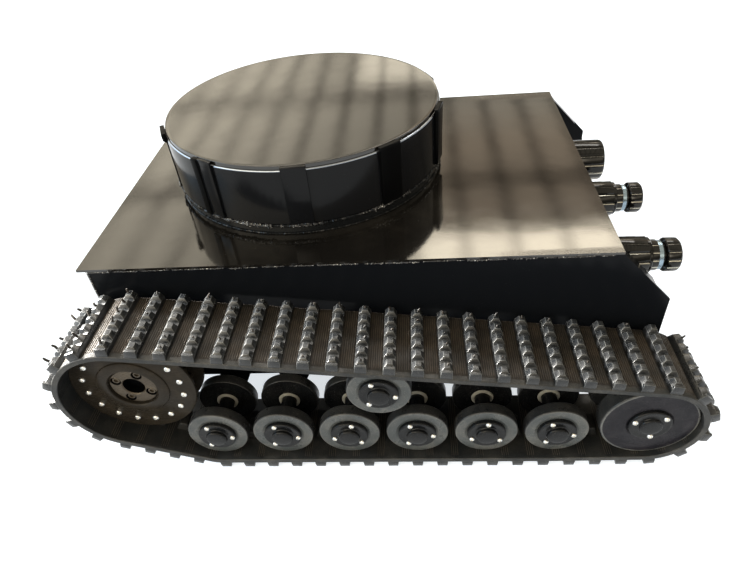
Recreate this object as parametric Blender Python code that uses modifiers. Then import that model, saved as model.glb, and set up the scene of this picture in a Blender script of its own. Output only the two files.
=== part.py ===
"""Tracked tank chassis: a welded hull with a round turret drum, carried on two belt tracks.

Metres, +Z up, +X to the rear (idler end), -X to the front (drive sprockets), Y across.
Z = 0 is the ground under the belt lugs and X = Y = 0 is the middle of the footprint.
"left" is the -Y side and "right" is the +Y side, seen by someone who faces the front.
"""

import math

import bmesh
import bpy
from mathutils import Matrix, Vector

# ---- driving dimensions ---------------------------------------------------------------------
GAP = 0.0003  # clearance kept between touching pieces
SHEET = 0.003  # steel sheet of the hull

# running gear, in the XZ plane
WHEEL_RADIUS = 0.0363
WHEEL_PITCH = 0.080
WHEEL_COUNT = 6
FIRST_WHEEL_X = -0.1958
BELT_THICKNESS = 0.0065
LUG_HEIGHT = 0.0115
WHEEL_Z = LUG_HEIGHT + BELT_THICKNESS + GAP + WHEEL_RADIUS
SPROCKET_X = -0.2817
SPROCKET_Z = 0.1266
SPROCKET_RADIUS = 0.0729
IDLER_X = 0.3019
IDLER_Z = 0.0734
IDLER_RADIUS = 0.0533
ROLLER_X = 0.0039

# running gear, as distances from the hull's centre plane
BELT_OUTER = 0.3181
BELT_INNER = 0.2237
WHEEL_FACE = 0.3065
INNER_WHEEL_FACE = 0.2561
SPROCKET_FACE = 0.2918
IDLER_FACE = 0.3110
GUIDE_MIDDLE = 0.2745
AXLE_END = 0.3036

# belt
LUG_PITCH = 0.0301  # the belt holds a whole number of lugs, so the true pitch is close to this
LUG_BASE = 0.0145
LUG_TIP = 0.0090
LUG_PHASE = 0.04  # of a pitch, from the front of the lower run
GUIDE_WIDTH = 0.024
GUIDE_BASE = 0.015
GUIDE_TIP = 0.009
GUIDE_HEIGHT = 0.0118  # the horns stop just outside the sprocket's pins

# wheels
OUTER_WHEEL_WIDTH = 0.0144
INNER_WHEEL_WIDTH = 0.0136
AXLE_RADIUS = 0.006
BORE_RADIUS = 0.0063
SLEEVE_RADIUS = 0.0095
FLANGE_RADIUS = 0.0222
FLANGE_HEIGHT = 0.0042  # how far a hub's flange stands out from the tyre's face
CAP_RADIUS = 0.0125
CAP_HEIGHT = 0.0090
RUN_OFF = 0.0015  # chamfer of a wheel's tread
ROUND = 20  # segments of a wheel

# sprocket
DISC = 0.004
DISC_GAP = 0.0306  # from the outer disc's face to the inner disc's face
PIN_COUNT = 16
PIN_CIRCLE = 0.0583
PIN_RADIUS = 0.0025
PIN_HEAD_RADIUS = 0.0040
PIN_HEAD_HEIGHT = 0.0020
BOSS_RADIUS = 0.0419
BOSS_HEIGHT = 0.0026
HUB_RADIUS = 0.0280
HUB_BORE = 0.0135
SHAFT_RADIUS = 0.010

# idler
IDLER_RIM = 0.020
IDLER_WIDTH = 0.073
IDLER_GROOVE = 0.030
IDLER_AXLE = 0.008
TENSION_TRAVEL = 0.005

# hull
HULL_SIDE = 0.2133  # outer face of a side plate
HULL_FRONT_X = -0.3377
SIDE_FRONT_X = -0.3273
HULL_BOTTOM = 0.057
DECK_TOP = 0.2406
DECK_FRONT_X = -0.3387
DECK_REAR_X = 0.2703
DECK_HALF = 0.2150
EAR_X = 0.3327
EAR_Z = 0.1706
TAB_BOTTOM = 0.0376
TAB_TOP_HALF = 0.021
TAB_BOTTOM_HALF = 0.012
REAR_PANEL_X = 0.2637
FLANGE_WIDTH = 0.0126

# turret
TURRET_X = -0.0949
TURRET_Y = 0.020
TURRET_OPENING = 0.150
NECK_RADIUS = 0.1780
NECK_WALL = 0.004
DRUM_RADIUS = 0.1800
DRUM_BOTTOM = 0.2551
DRUM_TOP = 0.3236
LID_RADIUS = 0.1780
LID_TOP = 0.3304
LID_SKIRT = 0.0045
CLIP_COUNT = 10
CLIP_WIDTH = 0.0285
CLIP_PHASE = math.radians(-85.5)
CLIP_SEAT = 0.1792  # a clip's inner face, sunk a little into the drum's wall
CLIP_LEAN = 0.0018  # how much further out a clip's top stands than its foot
NEAR_CLIP_TOP = 0.3302
FAR_CLIP_TOP = 0.3264
TURRET_ROUND = 48

# connectors on the rear panel
CONNECTOR_Z = 0.2042
PLUG_YS = (-0.1745, -0.0525)
CAP_Y = 0.0511
SOCKET_BARREL = 0.0140
NUT_RADIUS = 0.0222
CAPPED_RADIUS = 0.0284

SIDES = {"left": -1, "right": 1}
QUARTER = math.pi / 2

FINISHES = {
    "hull_paint": ((0.018, 0.018, 0.020), 0.15, 0.0),
    "deck_paint": ((0.060, 0.052, 0.045), 0.12, 0.0),
    "belt_rubber": ((0.050, 0.048, 0.045), 0.75, 0.0),
    "wheel_polymer": ((0.040, 0.041, 0.043), 0.45, 0.0),
    "black_steel": ((0.045, 0.043, 0.040), 0.30, 0.4),
    "bare_steel": ((0.55, 0.55, 0.54), 0.35, 1.0),
    "connector_shell": ((0.020, 0.020, 0.022), 0.35, 0.3),
    "motor_steel": ((0.32, 0.33, 0.34), 0.40, 0.9),
    "battery_wrap": ((0.03, 0.07, 0.16), 0.50, 0.0),
    "controller_case": ((0.10, 0.11, 0.12), 0.45, 0.7),
}


# ---- scene helpers --------------------------------------------------------------------------
def clear_scene():
    for obj in list(bpy.data.objects):
        bpy.data.objects.remove(obj, do_unlink=True)


def new_collection(name):
    collection = bpy.data.collections.new(name)
    bpy.context.scene.collection.children.link(collection)
    return collection


def make_material(name):
    color, roughness, metallic = FINISHES[name]
    material = bpy.data.materials.new(name)
    material.use_nodes = True
    shader = material.node_tree.nodes["Principled BSDF"]
    shader.inputs["Base Color"].default_value = (*color, 1.0)
    shader.inputs["Roughness"].default_value = roughness
    shader.inputs["Metallic"].default_value = metallic
    material.diffuse_color = (*color, 1.0)
    return material


def place(name, data, location=(0, 0, 0), rotation=(0, 0, 0)):
    obj = bpy.data.objects.new(name, data)
    obj.location = location
    obj.rotation_euler = rotation
    PARTS.objects.link(obj)
    return obj


def finish(obj, material):
    obj.data.materials.clear()
    obj.data.materials.append(MATERIALS[material])
    return obj


def as_helper(obj):
    """Turns an object into a cutter or a piece that a Boolean joins to another."""
    PARTS.objects.unlink(obj)
    HELPERS.objects.link(obj)
    obj.hide_render = True
    obj.display_type = "WIRE"
    return obj


def bake(obj):
    """Replaces a curve or a mesh with modifiers by its evaluated, welded mesh."""
    bpy.context.view_layer.update()
    graph = bpy.context.evaluated_depsgraph_get()
    mesh = bpy.data.meshes.new_from_object(obj.evaluated_get(graph))
    body = bmesh.new()
    body.from_mesh(mesh)
    bmesh.ops.remove_doubles(body, verts=body.verts, dist=0.000005)
    bmesh.ops.recalc_face_normals(body, faces=body.faces)
    body.to_mesh(mesh)
    body.free()
    mesh.shade_smooth()
    mesh.set_sharp_from_angle(angle=math.radians(35))
    name = obj.name
    location = obj.location.copy()
    rotation = obj.rotation_euler.copy()
    bpy.data.objects.remove(obj, do_unlink=True)
    return place(name, mesh, location, rotation)


def combine(obj, helper, operation):
    modifier = obj.modifiers.new(operation.lower(), "BOOLEAN")
    modifier.operation = operation
    modifier.object = helper
    modifier.use_self = True
    return obj


# ---- shape helpers --------------------------------------------------------------------------
def plate(name, outlines, thickness, location=(0, 0, 0), rotation=(0, 0, 0)):
    """A flat outline, with any further outlines as holes, thick along its local Z."""
    curve = bpy.data.curves.new(name, "CURVE")
    curve.dimensions = "2D"
    curve.fill_mode = "BOTH"
    curve.extrude = thickness / 2
    for outline in outlines:
        spline = curve.splines.new("POLY")
        spline.points.add(len(outline) - 1)
        for point, (x, y) in zip(spline.points, outline):
            point.co = (x, y, 0, 1)
        spline.use_cyclic_u = True
    return bake(place(name, curve, location, rotation))


def turned(name, profile, segments, location=(0, 0, 0), rotation=(0, 0, 0), closed=False):
    """A solid turned about its local Z from (radius, height) points that run down the outer side."""
    mesh = bpy.data.meshes.new(name)
    points = [(radius, 0, height) for radius, height in profile]
    edges = [(i, i + 1) for i in range(len(points) - 1)]
    if closed:
        edges.append((len(points) - 1, 0))
    mesh.from_pydata(points, edges, [])
    obj = place(name, mesh, location, rotation)
    screw = obj.modifiers.new("turn", "SCREW")
    screw.axis = "Z"
    screw.steps = segments
    screw.render_steps = segments
    screw.use_merge_vertices = True
    screw.merge_threshold = 0.00001
    return bake(obj)


def circle(radius, count, center=(0, 0), start=0.0):
    return [
        (
            center[0] + radius * math.cos(start + math.tau * i / count),
            center[1] + radius * math.sin(start + math.tau * i / count),
        )
        for i in range(count)
    ]


def box(name, size, location, bevel=0.0):
    mesh = bpy.data.meshes.new(name)
    body = bmesh.new()
    bmesh.ops.create_cube(body, size=1.0, matrix=Matrix.Diagonal((*size, 1.0)))
    body.to_mesh(mesh)
    body.free()
    obj = place(name, mesh, location)
    if bevel:
        modifier = obj.modifiers.new("bevel", "BEVEL")
        modifier.width = bevel
        modifier.segments = 1
    return obj


def cylinders(name, rods, axis):
    """One helper mesh of separate closed cylinders: (center, radius, length, sides) each."""
    turn = Vector((0, 0, 1)).rotation_difference(Vector(axis)).to_matrix().to_4x4()
    body = bmesh.new()
    for center, radius, length, sides in rods:
        bmesh.ops.create_cone(
            body,
            cap_ends=True,
            segments=sides,
            radius1=radius,
            radius2=radius,
            depth=length,
            matrix=Matrix.Translation(center) @ turn,
        )
    mesh = bpy.data.meshes.new(name)
    body.to_mesh(mesh)
    body.free()
    return as_helper(place(name, mesh))


def facing(side):
    """Rotation that turns a part's local +Z outward, away from the hull."""
    return (-QUARTER * side, 0, 0)


# ---- belt path ------------------------------------------------------------------------------
def outer_tangent(first, second):
    """Where the straight run that leaves one circle meets the next, going anticlockwise."""
    (x1, z1, r1), (x2, z2, r2) = first, second
    along = math.atan2(z2 - z1, x2 - x1)
    normal = along - math.acos((r1 - r2) / math.hypot(x2 - x1, z2 - z1))
    return (
        Vector((x1 + r1 * math.cos(normal), z1 + r1 * math.sin(normal))),
        Vector((x2 + r2 * math.cos(normal), z2 + r2 * math.sin(normal))),
        normal,
    )


def path_pieces(circles):
    """The belt's inner face as straight runs and arcs, anticlockwise from the lower run."""
    runs = [outer_tangent(a, b) for a, b in zip(circles, circles[1:] + circles[:1])]
    pieces = []
    for i, (start, end, normal) in enumerate(runs):
        following = runs[(i + 1) % len(runs)][2]
        x, z, radius = circles[(i + 1) % len(circles)]
        turn = (following - normal) % math.tau
        pieces.append(("run", (end - start).length, start, end, normal))
        pieces.append(("arc", turn * radius, Vector((x, z)), radius, normal))
    return pieces


def path_at(pieces, distance, offset):
    """Point at a distance along the path, moved outward by offset, and its outward normal."""
    for kind, length, a, b, normal in pieces:
        if distance > length:
            distance -= length
            continue
        if kind == "run":
            outward = Vector((math.cos(normal), math.sin(normal)))
            return a.lerp(b, distance / length) + outward * offset, outward
        angle = normal + distance / b
        outward = Vector((math.cos(angle), math.sin(angle)))
        return a + outward * (b + offset), outward
    return path_at(pieces, distance, offset)


def belt_circles():
    last_wheel_x = FIRST_WHEEL_X + WHEEL_PITCH * (WHEEL_COUNT - 1)
    return [
        (FIRST_WHEEL_X, WHEEL_Z, WHEEL_RADIUS + GAP),
        (last_wheel_x, WHEEL_Z, WHEEL_RADIUS + GAP),
        (IDLER_X, IDLER_Z, IDLER_RADIUS + GAP),
        (SPROCKET_X, SPROCKET_Z, SPROCKET_RADIUS + GAP),
    ]


def belt_length():
    """Length of the belt's middle layer, which sets the number of lugs."""
    return sum(piece[1] for piece in PATH) + math.tau * BELT_THICKNESS / 2


def belt_outline():
    """The outer face with its lugs, each lug square to the belt."""
    inner_length = sum(piece[1] for piece in PATH)
    outline = []
    for i in range(LUG_COUNT):
        middle = (i + LUG_PHASE) * inner_length / LUG_COUNT
        point, outward = path_at(PATH, middle % inner_length, BELT_THICKNESS)
        ahead = Vector((-outward.y, outward.x))
        for along, height in (
            (-LUG_BASE / 2, 0),
            (-LUG_TIP / 2, LUG_HEIGHT),
            (LUG_TIP / 2, LUG_HEIGHT),
            (LUG_BASE / 2, 0),
        ):
            outline.append(point + ahead * along + outward * height)
        between = (i + LUG_PHASE + 0.5) * inner_length / LUG_COUNT
        point, facing_out = path_at(PATH, between % inner_length, BELT_THICKNESS)
        if facing_out != outward:
            outline.append(point)
    return [(p.x, p.y) for p in outline]


def belt_inside():
    """The inner face: a point at each end of a run and every few degrees of an arc."""
    points = []
    for kind, length, a, b, normal in PATH:
        if kind == "run":
            points += [a, b]
            continue
        steps = max(1, round(length / b / math.radians(9)))
        for i in range(1, steps):
            angle = normal + length / b * i / steps
            # on the outside of the arc, so that its chords stay off the wheel
            reach = b / math.cos(length / b / steps / 2)
            points.append(a + Vector((math.cos(angle), math.sin(angle))) * reach)
    return [(p.x, p.y) for p in points]


# ---- running gear ---------------------------------------------------------------------------
def guide_lugs(name, side):
    """Helper: the row of horns inside the belt that run between the wheels."""
    inner_length = sum(piece[1] for piece in PATH)
    root = 0.002
    body = bmesh.new()
    for i in range(LUG_COUNT):
        middle = (i + LUG_PHASE) * inner_length / LUG_COUNT
        point, outward = path_at(PATH, middle % inner_length, 0)
        ahead = Vector((-outward.y, outward.x))
        made = bmesh.ops.create_cube(body, size=1.0)["verts"]
        for vert in made:
            tip = vert.co.z > 0
            half = (GUIDE_TIP if tip else GUIDE_BASE) / 2
            height = -GUIDE_HEIGHT if tip else root
            spot = point + ahead * math.copysign(half, vert.co.x) + outward * height
            across = side * GUIDE_MIDDLE + math.copysign(GUIDE_WIDTH / 2, vert.co.y)
            vert.co = (spot.x, across, spot.y)
    bmesh.ops.recalc_face_normals(body, faces=body.faces)
    mesh = bpy.data.meshes.new(name)
    body.to_mesh(mesh)
    body.free()
    return as_helper(place(name, mesh))


def make_belt(label, side):
    width = BELT_OUTER - BELT_INNER
    belt = plate(
        f"track_belt_{label}",
        [belt_outline(), belt_inside()],
        width,
        (0, side * (BELT_OUTER + BELT_INNER) / 2, 0),
        (QUARTER, 0, 0),
    )
    combine(belt, guide_lugs(f"guide_horns_{label}", side), "UNION")
    finish(belt, "belt_rubber")


def wheel_face(radius):
    """Front of a hub: raised cap, raised flange and flat tyre face, from the axis outward."""
    return [
        (0, CAP_HEIGHT),
        (CAP_RADIUS * 0.80, CAP_HEIGHT - 0.0005),
        (CAP_RADIUS, CAP_HEIGHT - 0.0025),
        (CAP_RADIUS, FLANGE_HEIGHT),
        (FLANGE_RADIUS - 0.0010, FLANGE_HEIGHT),
        (FLANGE_RADIUS, FLANGE_HEIGHT - 0.0010),
        (FLANGE_RADIUS, 0),
        (radius - RUN_OFF, 0),
        (radius, -2 * RUN_OFF),
    ]


def make_outer_wheel(name, x, side):
    width = OUTER_WHEEL_WIDTH
    profile = wheel_face(WHEEL_RADIUS) + [
        (WHEEL_RADIUS, -width),
        (BORE_RADIUS, -width),
        (BORE_RADIUS, -0.0026),
        (0, -0.0026),
    ]
    wheel = turned(name, profile, ROUND, (x, side * WHEEL_FACE, WHEEL_Z), facing(side))
    finish(wheel, "wheel_polymer")


def make_inner_wheel(name, x, side):
    width = INNER_WHEEL_WIDTH
    sleeve_end = WHEEL_FACE - OUTER_WHEEL_WIDTH - GAP - INNER_WHEEL_FACE
    profile = [
        (BORE_RADIUS, sleeve_end),
        (SLEEVE_RADIUS, sleeve_end),
        (SLEEVE_RADIUS, 0),
        (WHEEL_RADIUS, 0),
        (WHEEL_RADIUS, -width),
        (BORE_RADIUS, -width),
    ]
    spot = (x, side * INNER_WHEEL_FACE, WHEEL_Z)
    finish(turned(name, profile, 16, spot, facing(side), closed=True), "wheel_polymer")


def roller_z():
    """Height at which the return roller just carries the belt's upper run."""
    upper = next(p for p in PATH if p[0] == "run" and math.sin(p[4]) > 0.5)
    _, _, start, end, normal = upper
    at = start.lerp(end, (ROLLER_X - start.x) / (end.x - start.x))
    return at.y - (WHEEL_RADIUS + GAP) / math.sin(normal)


def make_return_roller(label, side):
    width = OUTER_WHEEL_WIDTH
    inner = WHEEL_FACE - INNER_WHEEL_FACE
    far = inner + INNER_WHEEL_WIDTH
    profile = wheel_face(WHEEL_RADIUS) + [
        (WHEEL_RADIUS, -width),
        (SLEEVE_RADIUS, -width),
        (SLEEVE_RADIUS, -inner),
        (WHEEL_RADIUS, -inner),
        (WHEEL_RADIUS, -far),
        (BORE_RADIUS, -far),
        (BORE_RADIUS, -0.0026),
        (0, -0.0026),
    ]
    spot = (ROLLER_X, side * WHEEL_FACE, roller_z())
    roller = turned(f"return_roller_{label}", profile, ROUND, spot, facing(side))
    finish(roller, "wheel_polymer")


def make_sprocket(label, side):
    """Two discs held apart by a ring of pins, whose heads show on the outer disc."""
    spot = (SPROCKET_X, side * SPROCKET_FACE, SPROCKET_Z)
    outer = [
        (HUB_RADIUS + GAP, BOSS_HEIGHT),
        (BOSS_RADIUS, BOSS_HEIGHT),
        (BOSS_RADIUS + 0.0006, 0),
        (SPROCKET_RADIUS, 0),
        (SPROCKET_RADIUS, -DISC),
        (HUB_RADIUS + GAP, -DISC),
    ]
    name = f"drive_sprocket_{label}"
    sprocket = turned(name, outer, 28, spot, facing(side), closed=True)
    inner = [
        (0.0183, -DISC_GAP),
        (SPROCKET_RADIUS, -DISC_GAP),
        (SPROCKET_RADIUS, -DISC_GAP - DISC),
        (0.0183, -DISC_GAP - DISC),
    ]
    disc = turned(f"inner_disc_{label}", inner, 28, spot, facing(side), closed=True)
    combine(sprocket, as_helper(disc), "UNION")
    rods = []
    for x, z in circle(PIN_CIRCLE, PIN_COUNT, start=math.radians(143.35)):
        length = DISC_GAP + DISC - 0.0006
        middle = side * (SPROCKET_FACE - 0.0003 - length / 2)
        rods.append(((SPROCKET_X + x, middle, SPROCKET_Z + z), PIN_RADIUS, length, 6))
        head = side * (SPROCKET_FACE + PIN_HEAD_HEIGHT / 2 - 0.0002)
        rods.append(
            ((SPROCKET_X + x, head, SPROCKET_Z + z), PIN_HEAD_RADIUS, PIN_HEAD_HEIGHT, 6)
        )
    combine(sprocket, cylinders(f"sprocket_pins_{label}", rods, (0, side, 0)), "UNION")
    finish(sprocket, "black_steel")


def make_drive_hub(label, side):
    """Flanged hub that carries the sprocket's discs, and its shaft through the side plate."""
    back = -DISC - GAP
    inner_face = -DISC_GAP + 0.004
    shaft_end = -(SPROCKET_FACE - HULL_SIDE + SHEET + 0.012)
    profile = [
        (0, -0.012),
        (HUB_BORE, -0.012),
        (HUB_BORE, -0.0010),
        (HUB_RADIUS, -0.0010),
        (HUB_RADIUS, back),
        (0.040, back),
        (0.040, back - 0.005),
        (0.018, back - 0.005),
        (0.018, inner_face - DISC - 0.012),
        (SHAFT_RADIUS, inner_face - DISC - 0.012),
        (SHAFT_RADIUS, shaft_end),
        (0, shaft_end),
    ]
    spot = (SPROCKET_X, side * SPROCKET_FACE, SPROCKET_Z)
    finish(turned(f"drive_hub_{label}", profile, ROUND, spot, facing(side)), "black_steel")


def make_idler(label, side):
    """Spool with a plain face, two rims and a groove for the belt's horns."""
    rim = IDLER_RADIUS - RUN_OFF
    profile = [
        (0, 0.0068),
        (0.0100, 0.0064),
        (0.0128, 0.0046),
        (0.0128, 0.0036),
        (0.0226, 0.0036),
        (0.0236, 0.0026),
        (0.0236, 0),
        (rim, 0),
        (IDLER_RADIUS, -RUN_OFF),
        (IDLER_RADIUS, -IDLER_RIM),
        (IDLER_GROOVE, -IDLER_RIM),
        (IDLER_GROOVE, IDLER_RIM - 0.002 - IDLER_WIDTH),
        (IDLER_RADIUS, IDLER_RIM - 0.002 - IDLER_WIDTH),
        (IDLER_RADIUS, -IDLER_WIDTH),
        (IDLER_AXLE + GAP, -IDLER_WIDTH),
        (IDLER_AXLE + GAP, -0.003),
        (0, -0.003),
    ]
    spot = (IDLER_X, side * IDLER_FACE, IDLER_Z)
    finish(turned(f"idler_wheel_{label}", profile, 24, spot, facing(side)), "wheel_polymer")


def make_tensioner(label, side):
    """Sliding plate outside the hull, with the idler's axle and a stud through the slot."""
    name = f"idler_tensioner_{label}"
    thickness = 0.005
    middle = side * (HULL_SIDE + GAP + thickness / 2)
    slider = box(name, (0.050, thickness, 0.030), (IDLER_X, middle, IDLER_Z), 0.0)
    seat = HULL_SIDE + GAP + thickness
    axle_end = IDLER_FACE - 0.004
    axle_length = axle_end - seat + 0.001
    stud_end = HULL_SIDE - SHEET - 0.008
    stud_length = seat - 0.001 - stud_end
    nut_top = HULL_SIDE - SHEET - GAP
    rods = [
        ((IDLER_X, side * (axle_end - axle_length / 2), IDLER_Z), IDLER_AXLE, axle_length, 12),
        ((IDLER_X, side * (stud_end + stud_length / 2), IDLER_Z), 0.005, stud_length, 8),
        ((IDLER_X, side * (nut_top - 0.0025), IDLER_Z), 0.009, 0.005, 6),
    ]
    combine(slider, cylinders(f"idler_axle_{label}", rods, (0, 1, 0)), "UNION")
    finish(slider, "black_steel")


def make_running_gear(label, side):
    make_belt(label, side)
    make_sprocket(label, side)
    make_drive_hub(label, side)
    make_idler(label, side)
    make_tensioner(label, side)
    make_return_roller(label, side)
    for i in range(WHEEL_COUNT):
        x = FIRST_WHEEL_X + WHEEL_PITCH * i
        make_outer_wheel(f"outer_wheel_{label}_{i + 1}", x, side)
        make_inner_wheel(f"inner_wheel_{label}_{i + 1}", x, side)


# ---- hull -----------------------------------------------------------------------------------
def side_outline():
    """Side plate in XZ: straight top, pointed rear ear and a tab down to each axle."""
    top = DECK_TOP - SHEET - GAP
    outline = [
        (SIDE_FRONT_X, top),
        (SIDE_FRONT_X, HULL_BOTTOM),
    ]
    for i in range(WHEEL_COUNT):
        x = FIRST_WHEEL_X + WHEEL_PITCH * i
        outline += [
            (x - TAB_TOP_HALF, HULL_BOTTOM),
            (x - TAB_BOTTOM_HALF, TAB_BOTTOM),
            (x + TAB_BOTTOM_HALF, TAB_BOTTOM),
            (x + TAB_TOP_HALF, HULL_BOTTOM),
        ]
    return outline + [(EAR_X, HULL_BOTTOM), (EAR_X, EAR_Z), (DECK_REAR_X, top)]


def slot_outline():
    """Round-ended slot that the tension stud slides along."""
    radius = 0.0054
    front = [
        (IDLER_X - TENSION_TRAVEL + radius * math.cos(a), IDLER_Z + radius * math.sin(a))
        for a in (QUARTER + math.pi * i / 6 for i in range(7))
    ]
    back = [
        (IDLER_X + radius * math.cos(a), IDLER_Z + radius * math.sin(a))
        for a in (-QUARTER + math.pi * i / 6 for i in range(7))
    ]
    return front + back


def make_side_plate(label, side):
    """Side plate with its welded stub axles and the narrow flange on the ear's slope."""
    shaft_hole = circle(SHAFT_RADIUS + 0.002, 14, (SPROCKET_X, SPROCKET_Z))
    plate_y = side * (HULL_SIDE - SHEET / 2)
    body = plate(
        f"side_plate_{label}",
        [side_outline(), shaft_hole, slot_outline()],
        SHEET,
        (0, plate_y, 0),
        (QUARTER, 0, 0),
    )
    length = AXLE_END - HULL_SIDE + 0.001
    middle = side * (AXLE_END - length / 2)
    rods = [
        ((FIRST_WHEEL_X + WHEEL_PITCH * i, middle, WHEEL_Z), AXLE_RADIUS, length, 8)
        for i in range(WHEEL_COUNT)
    ]
    rods.append(((ROLLER_X, middle, roller_z()), AXLE_RADIUS, length, 8))
    combine(body, cylinders(f"stub_axles_{label}", rods, (0, 1, 0)), "UNION")
    combine(body, ear_flange(label, side), "UNION")
    finish(body, "hull_paint")


def ear_flange(label, side):
    """Helper: strip square to the side plate along most of the ear's slope."""
    top = Vector((DECK_REAR_X, 0, DECK_TOP - SHEET - GAP))
    slope = Vector((EAR_X, 0, EAR_Z)) - top
    start = top + slope * 0.03
    strip = slope * 0.67
    inward = Vector((-slope.z, 0, slope.x)).normalized() * -SHEET
    outline = [start, start + strip, start + strip - inward * -1, start - inward * -1]
    inner = HULL_SIDE - SHEET - FLANGE_WIDTH
    width = HULL_SIDE - SHEET / 2 - inner
    body = plate(
        f"ear_flange_{label}",
        [[(p.x, p.z) for p in outline]],
        width,
        (0, side * (inner + width / 2), 0),
        (QUARTER, 0, 0),
    )
    return as_helper(body)


def make_front_plate():
    """Upright front sheet whose edges turn back at 45 degrees to meet the side plates."""
    wing = SIDE_FRONT_X - GAP
    depth = wing - HULL_FRONT_X
    inner_shift = SHEET * math.tan(math.radians(22.5))
    outer = [
        (wing, -HULL_SIDE),
        (HULL_FRONT_X, depth - HULL_SIDE),
        (HULL_FRONT_X, HULL_SIDE - depth),
        (wing, HULL_SIDE),
    ]
    back = SHEET * math.sqrt(2)
    inner = [
        (wing, HULL_SIDE - back),
        (HULL_FRONT_X + SHEET, HULL_SIDE - depth - inner_shift),
        (HULL_FRONT_X + SHEET, depth - HULL_SIDE + inner_shift),
        (wing, back - HULL_SIDE),
    ]
    top = DECK_TOP - SHEET - GAP
    height = top - HULL_BOTTOM
    middle = (0, 0, HULL_BOTTOM + height / 2)
    finish(plate("front_plate", [outer + inner], height, middle), "hull_paint")


def make_bottom_plate():
    side = HULL_SIDE - SHEET - GAP
    front = HULL_FRONT_X + SHEET + GAP
    corner = SIDE_FRONT_X + 0.003
    outline = [
        (front, -side + 0.0115),
        (corner, -side),
        (REAR_PANEL_X - GAP, -side),
        (REAR_PANEL_X - GAP, side),
        (corner, side),
        (front, side - 0.0115),
    ]
    middle = (0, 0, HULL_BOTTOM + SHEET / 2)
    finish(plate("bottom_plate", [outline], SHEET, middle), "hull_paint")


def make_rear_panel():
    """Rear sheet between the ears, with a round hole behind each connector."""
    side = HULL_SIDE - SHEET - GAP
    top = DECK_TOP - SHEET - GAP
    outline = [(-side, HULL_BOTTOM), (side, HULL_BOTTOM), (side, top), (-side, top)]
    holes = [
        circle(SOCKET_BARREL + 0.0005, 16, (y, CONNECTOR_Z)) for y in (*PLUG_YS, CAP_Y)
    ]
    # local X runs along +Y and local Y along +Z
    rotation = (QUARTER, 0, QUARTER)
    middle = (REAR_PANEL_X + SHEET / 2, 0, 0)
    finish(plate("rear_panel", [outline, *holes], SHEET, middle, rotation), "hull_paint")


def make_top_plate():
    outline = [
        (DECK_FRONT_X, -DECK_HALF),
        (DECK_REAR_X, -DECK_HALF),
        (DECK_REAR_X, DECK_HALF),
        (DECK_FRONT_X, DECK_HALF),
    ]
    hole = circle(TURRET_OPENING, 48, (TURRET_X, TURRET_Y))
    middle = (0, 0, DECK_TOP - SHEET / 2)
    finish(plate("top_plate", [outline, hole], SHEET, middle), "deck_paint")


# ---- turret ---------------------------------------------------------------------------------
def make_neck():
    top = DRUM_BOTTOM - GAP
    bottom = DECK_TOP + GAP
    profile = [
        (NECK_RADIUS - NECK_WALL, top),
        (NECK_RADIUS, top),
        (NECK_RADIUS, bottom),
        (NECK_RADIUS - NECK_WALL, bottom),
    ]
    spot = (TURRET_X, TURRET_Y, 0)
    neck = turned("turret_neck", profile, TURRET_ROUND, spot, closed=True)
    finish(neck, "hull_paint")


def make_drum():
    """Open drum with a ring floor, and the flat clips welded round it that keep the lid in place."""
    profile = [
        (DRUM_RADIUS - SHEET, DRUM_TOP),
        (DRUM_RADIUS, DRUM_TOP),
        (DRUM_RADIUS, DRUM_BOTTOM),
        (TURRET_OPENING, DRUM_BOTTOM),
        (TURRET_OPENING, DRUM_BOTTOM + SHEET),
        (DRUM_RADIUS - SHEET, DRUM_BOTTOM + SHEET),
    ]
    spot = (TURRET_X, TURRET_Y, 0)
    drum = turned("turret_drum", profile, TURRET_ROUND, spot, closed=True)
    body = bmesh.new()
    thickness = SHEET + 0.001
    for i in range(CLIP_COUNT):
        angle = CLIP_PHASE + math.tau * i / CLIP_COUNT
        top = NEAR_CLIP_TOP if math.sin(angle) < 0 else FAR_CLIP_TOP
        height = top - DRUM_BOTTOM - 0.001
        size = Matrix.Diagonal((thickness, CLIP_WIDTH, height, 1))
        out = Matrix.Translation((CLIP_SEAT + thickness / 2, 0, top - height / 2))
        made = bmesh.ops.create_cube(body, size=1.0, matrix=out @ size)["verts"]
        for vert in made:
            if vert.co.z > top - 0.001 and vert.co.x > CLIP_SEAT + thickness / 2:
                vert.co.x += CLIP_LEAN
        turn = Matrix.Translation(spot) @ Matrix.Rotation(angle, 4, "Z")
        bmesh.ops.transform(body, matrix=turn, verts=made)
    mesh = bpy.data.meshes.new("lid_clips")
    body.to_mesh(mesh)
    body.free()
    combine(drum, as_helper(place("lid_clips", mesh)), "UNION")
    finish(drum, "hull_paint")


def make_lid():
    """Loose cover: a disc with a short skirt that rests on the drum's rim."""
    bottom = DRUM_TOP + GAP
    profile = [
        (0, LID_TOP),
        (LID_RADIUS - 0.0015, LID_TOP),
        (LID_RADIUS, LID_TOP - 0.0015),
        (LID_RADIUS, bottom),
        (LID_RADIUS - LID_SKIRT, bottom),
        (LID_RADIUS - LID_SKIRT, LID_TOP - SHEET),
        (0, LID_TOP - SHEET),
    ]
    lid = turned("turret_lid", profile, TURRET_ROUND, (TURRET_X, TURRET_Y, 0))
    finish(lid, "deck_paint")


# ---- connectors -----------------------------------------------------------------------------
def along_x(name, profile, y, segments, material, closed=False):
    """A part turned about a connector's axis, with heights measured back from the rear panel."""
    rotation = (0, QUARTER, 0)
    spot = (REAR_PANEL_X + SHEET, y, CONNECTOR_Z)
    finish(turned(name, profile, segments, spot, rotation, closed), material)


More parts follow.
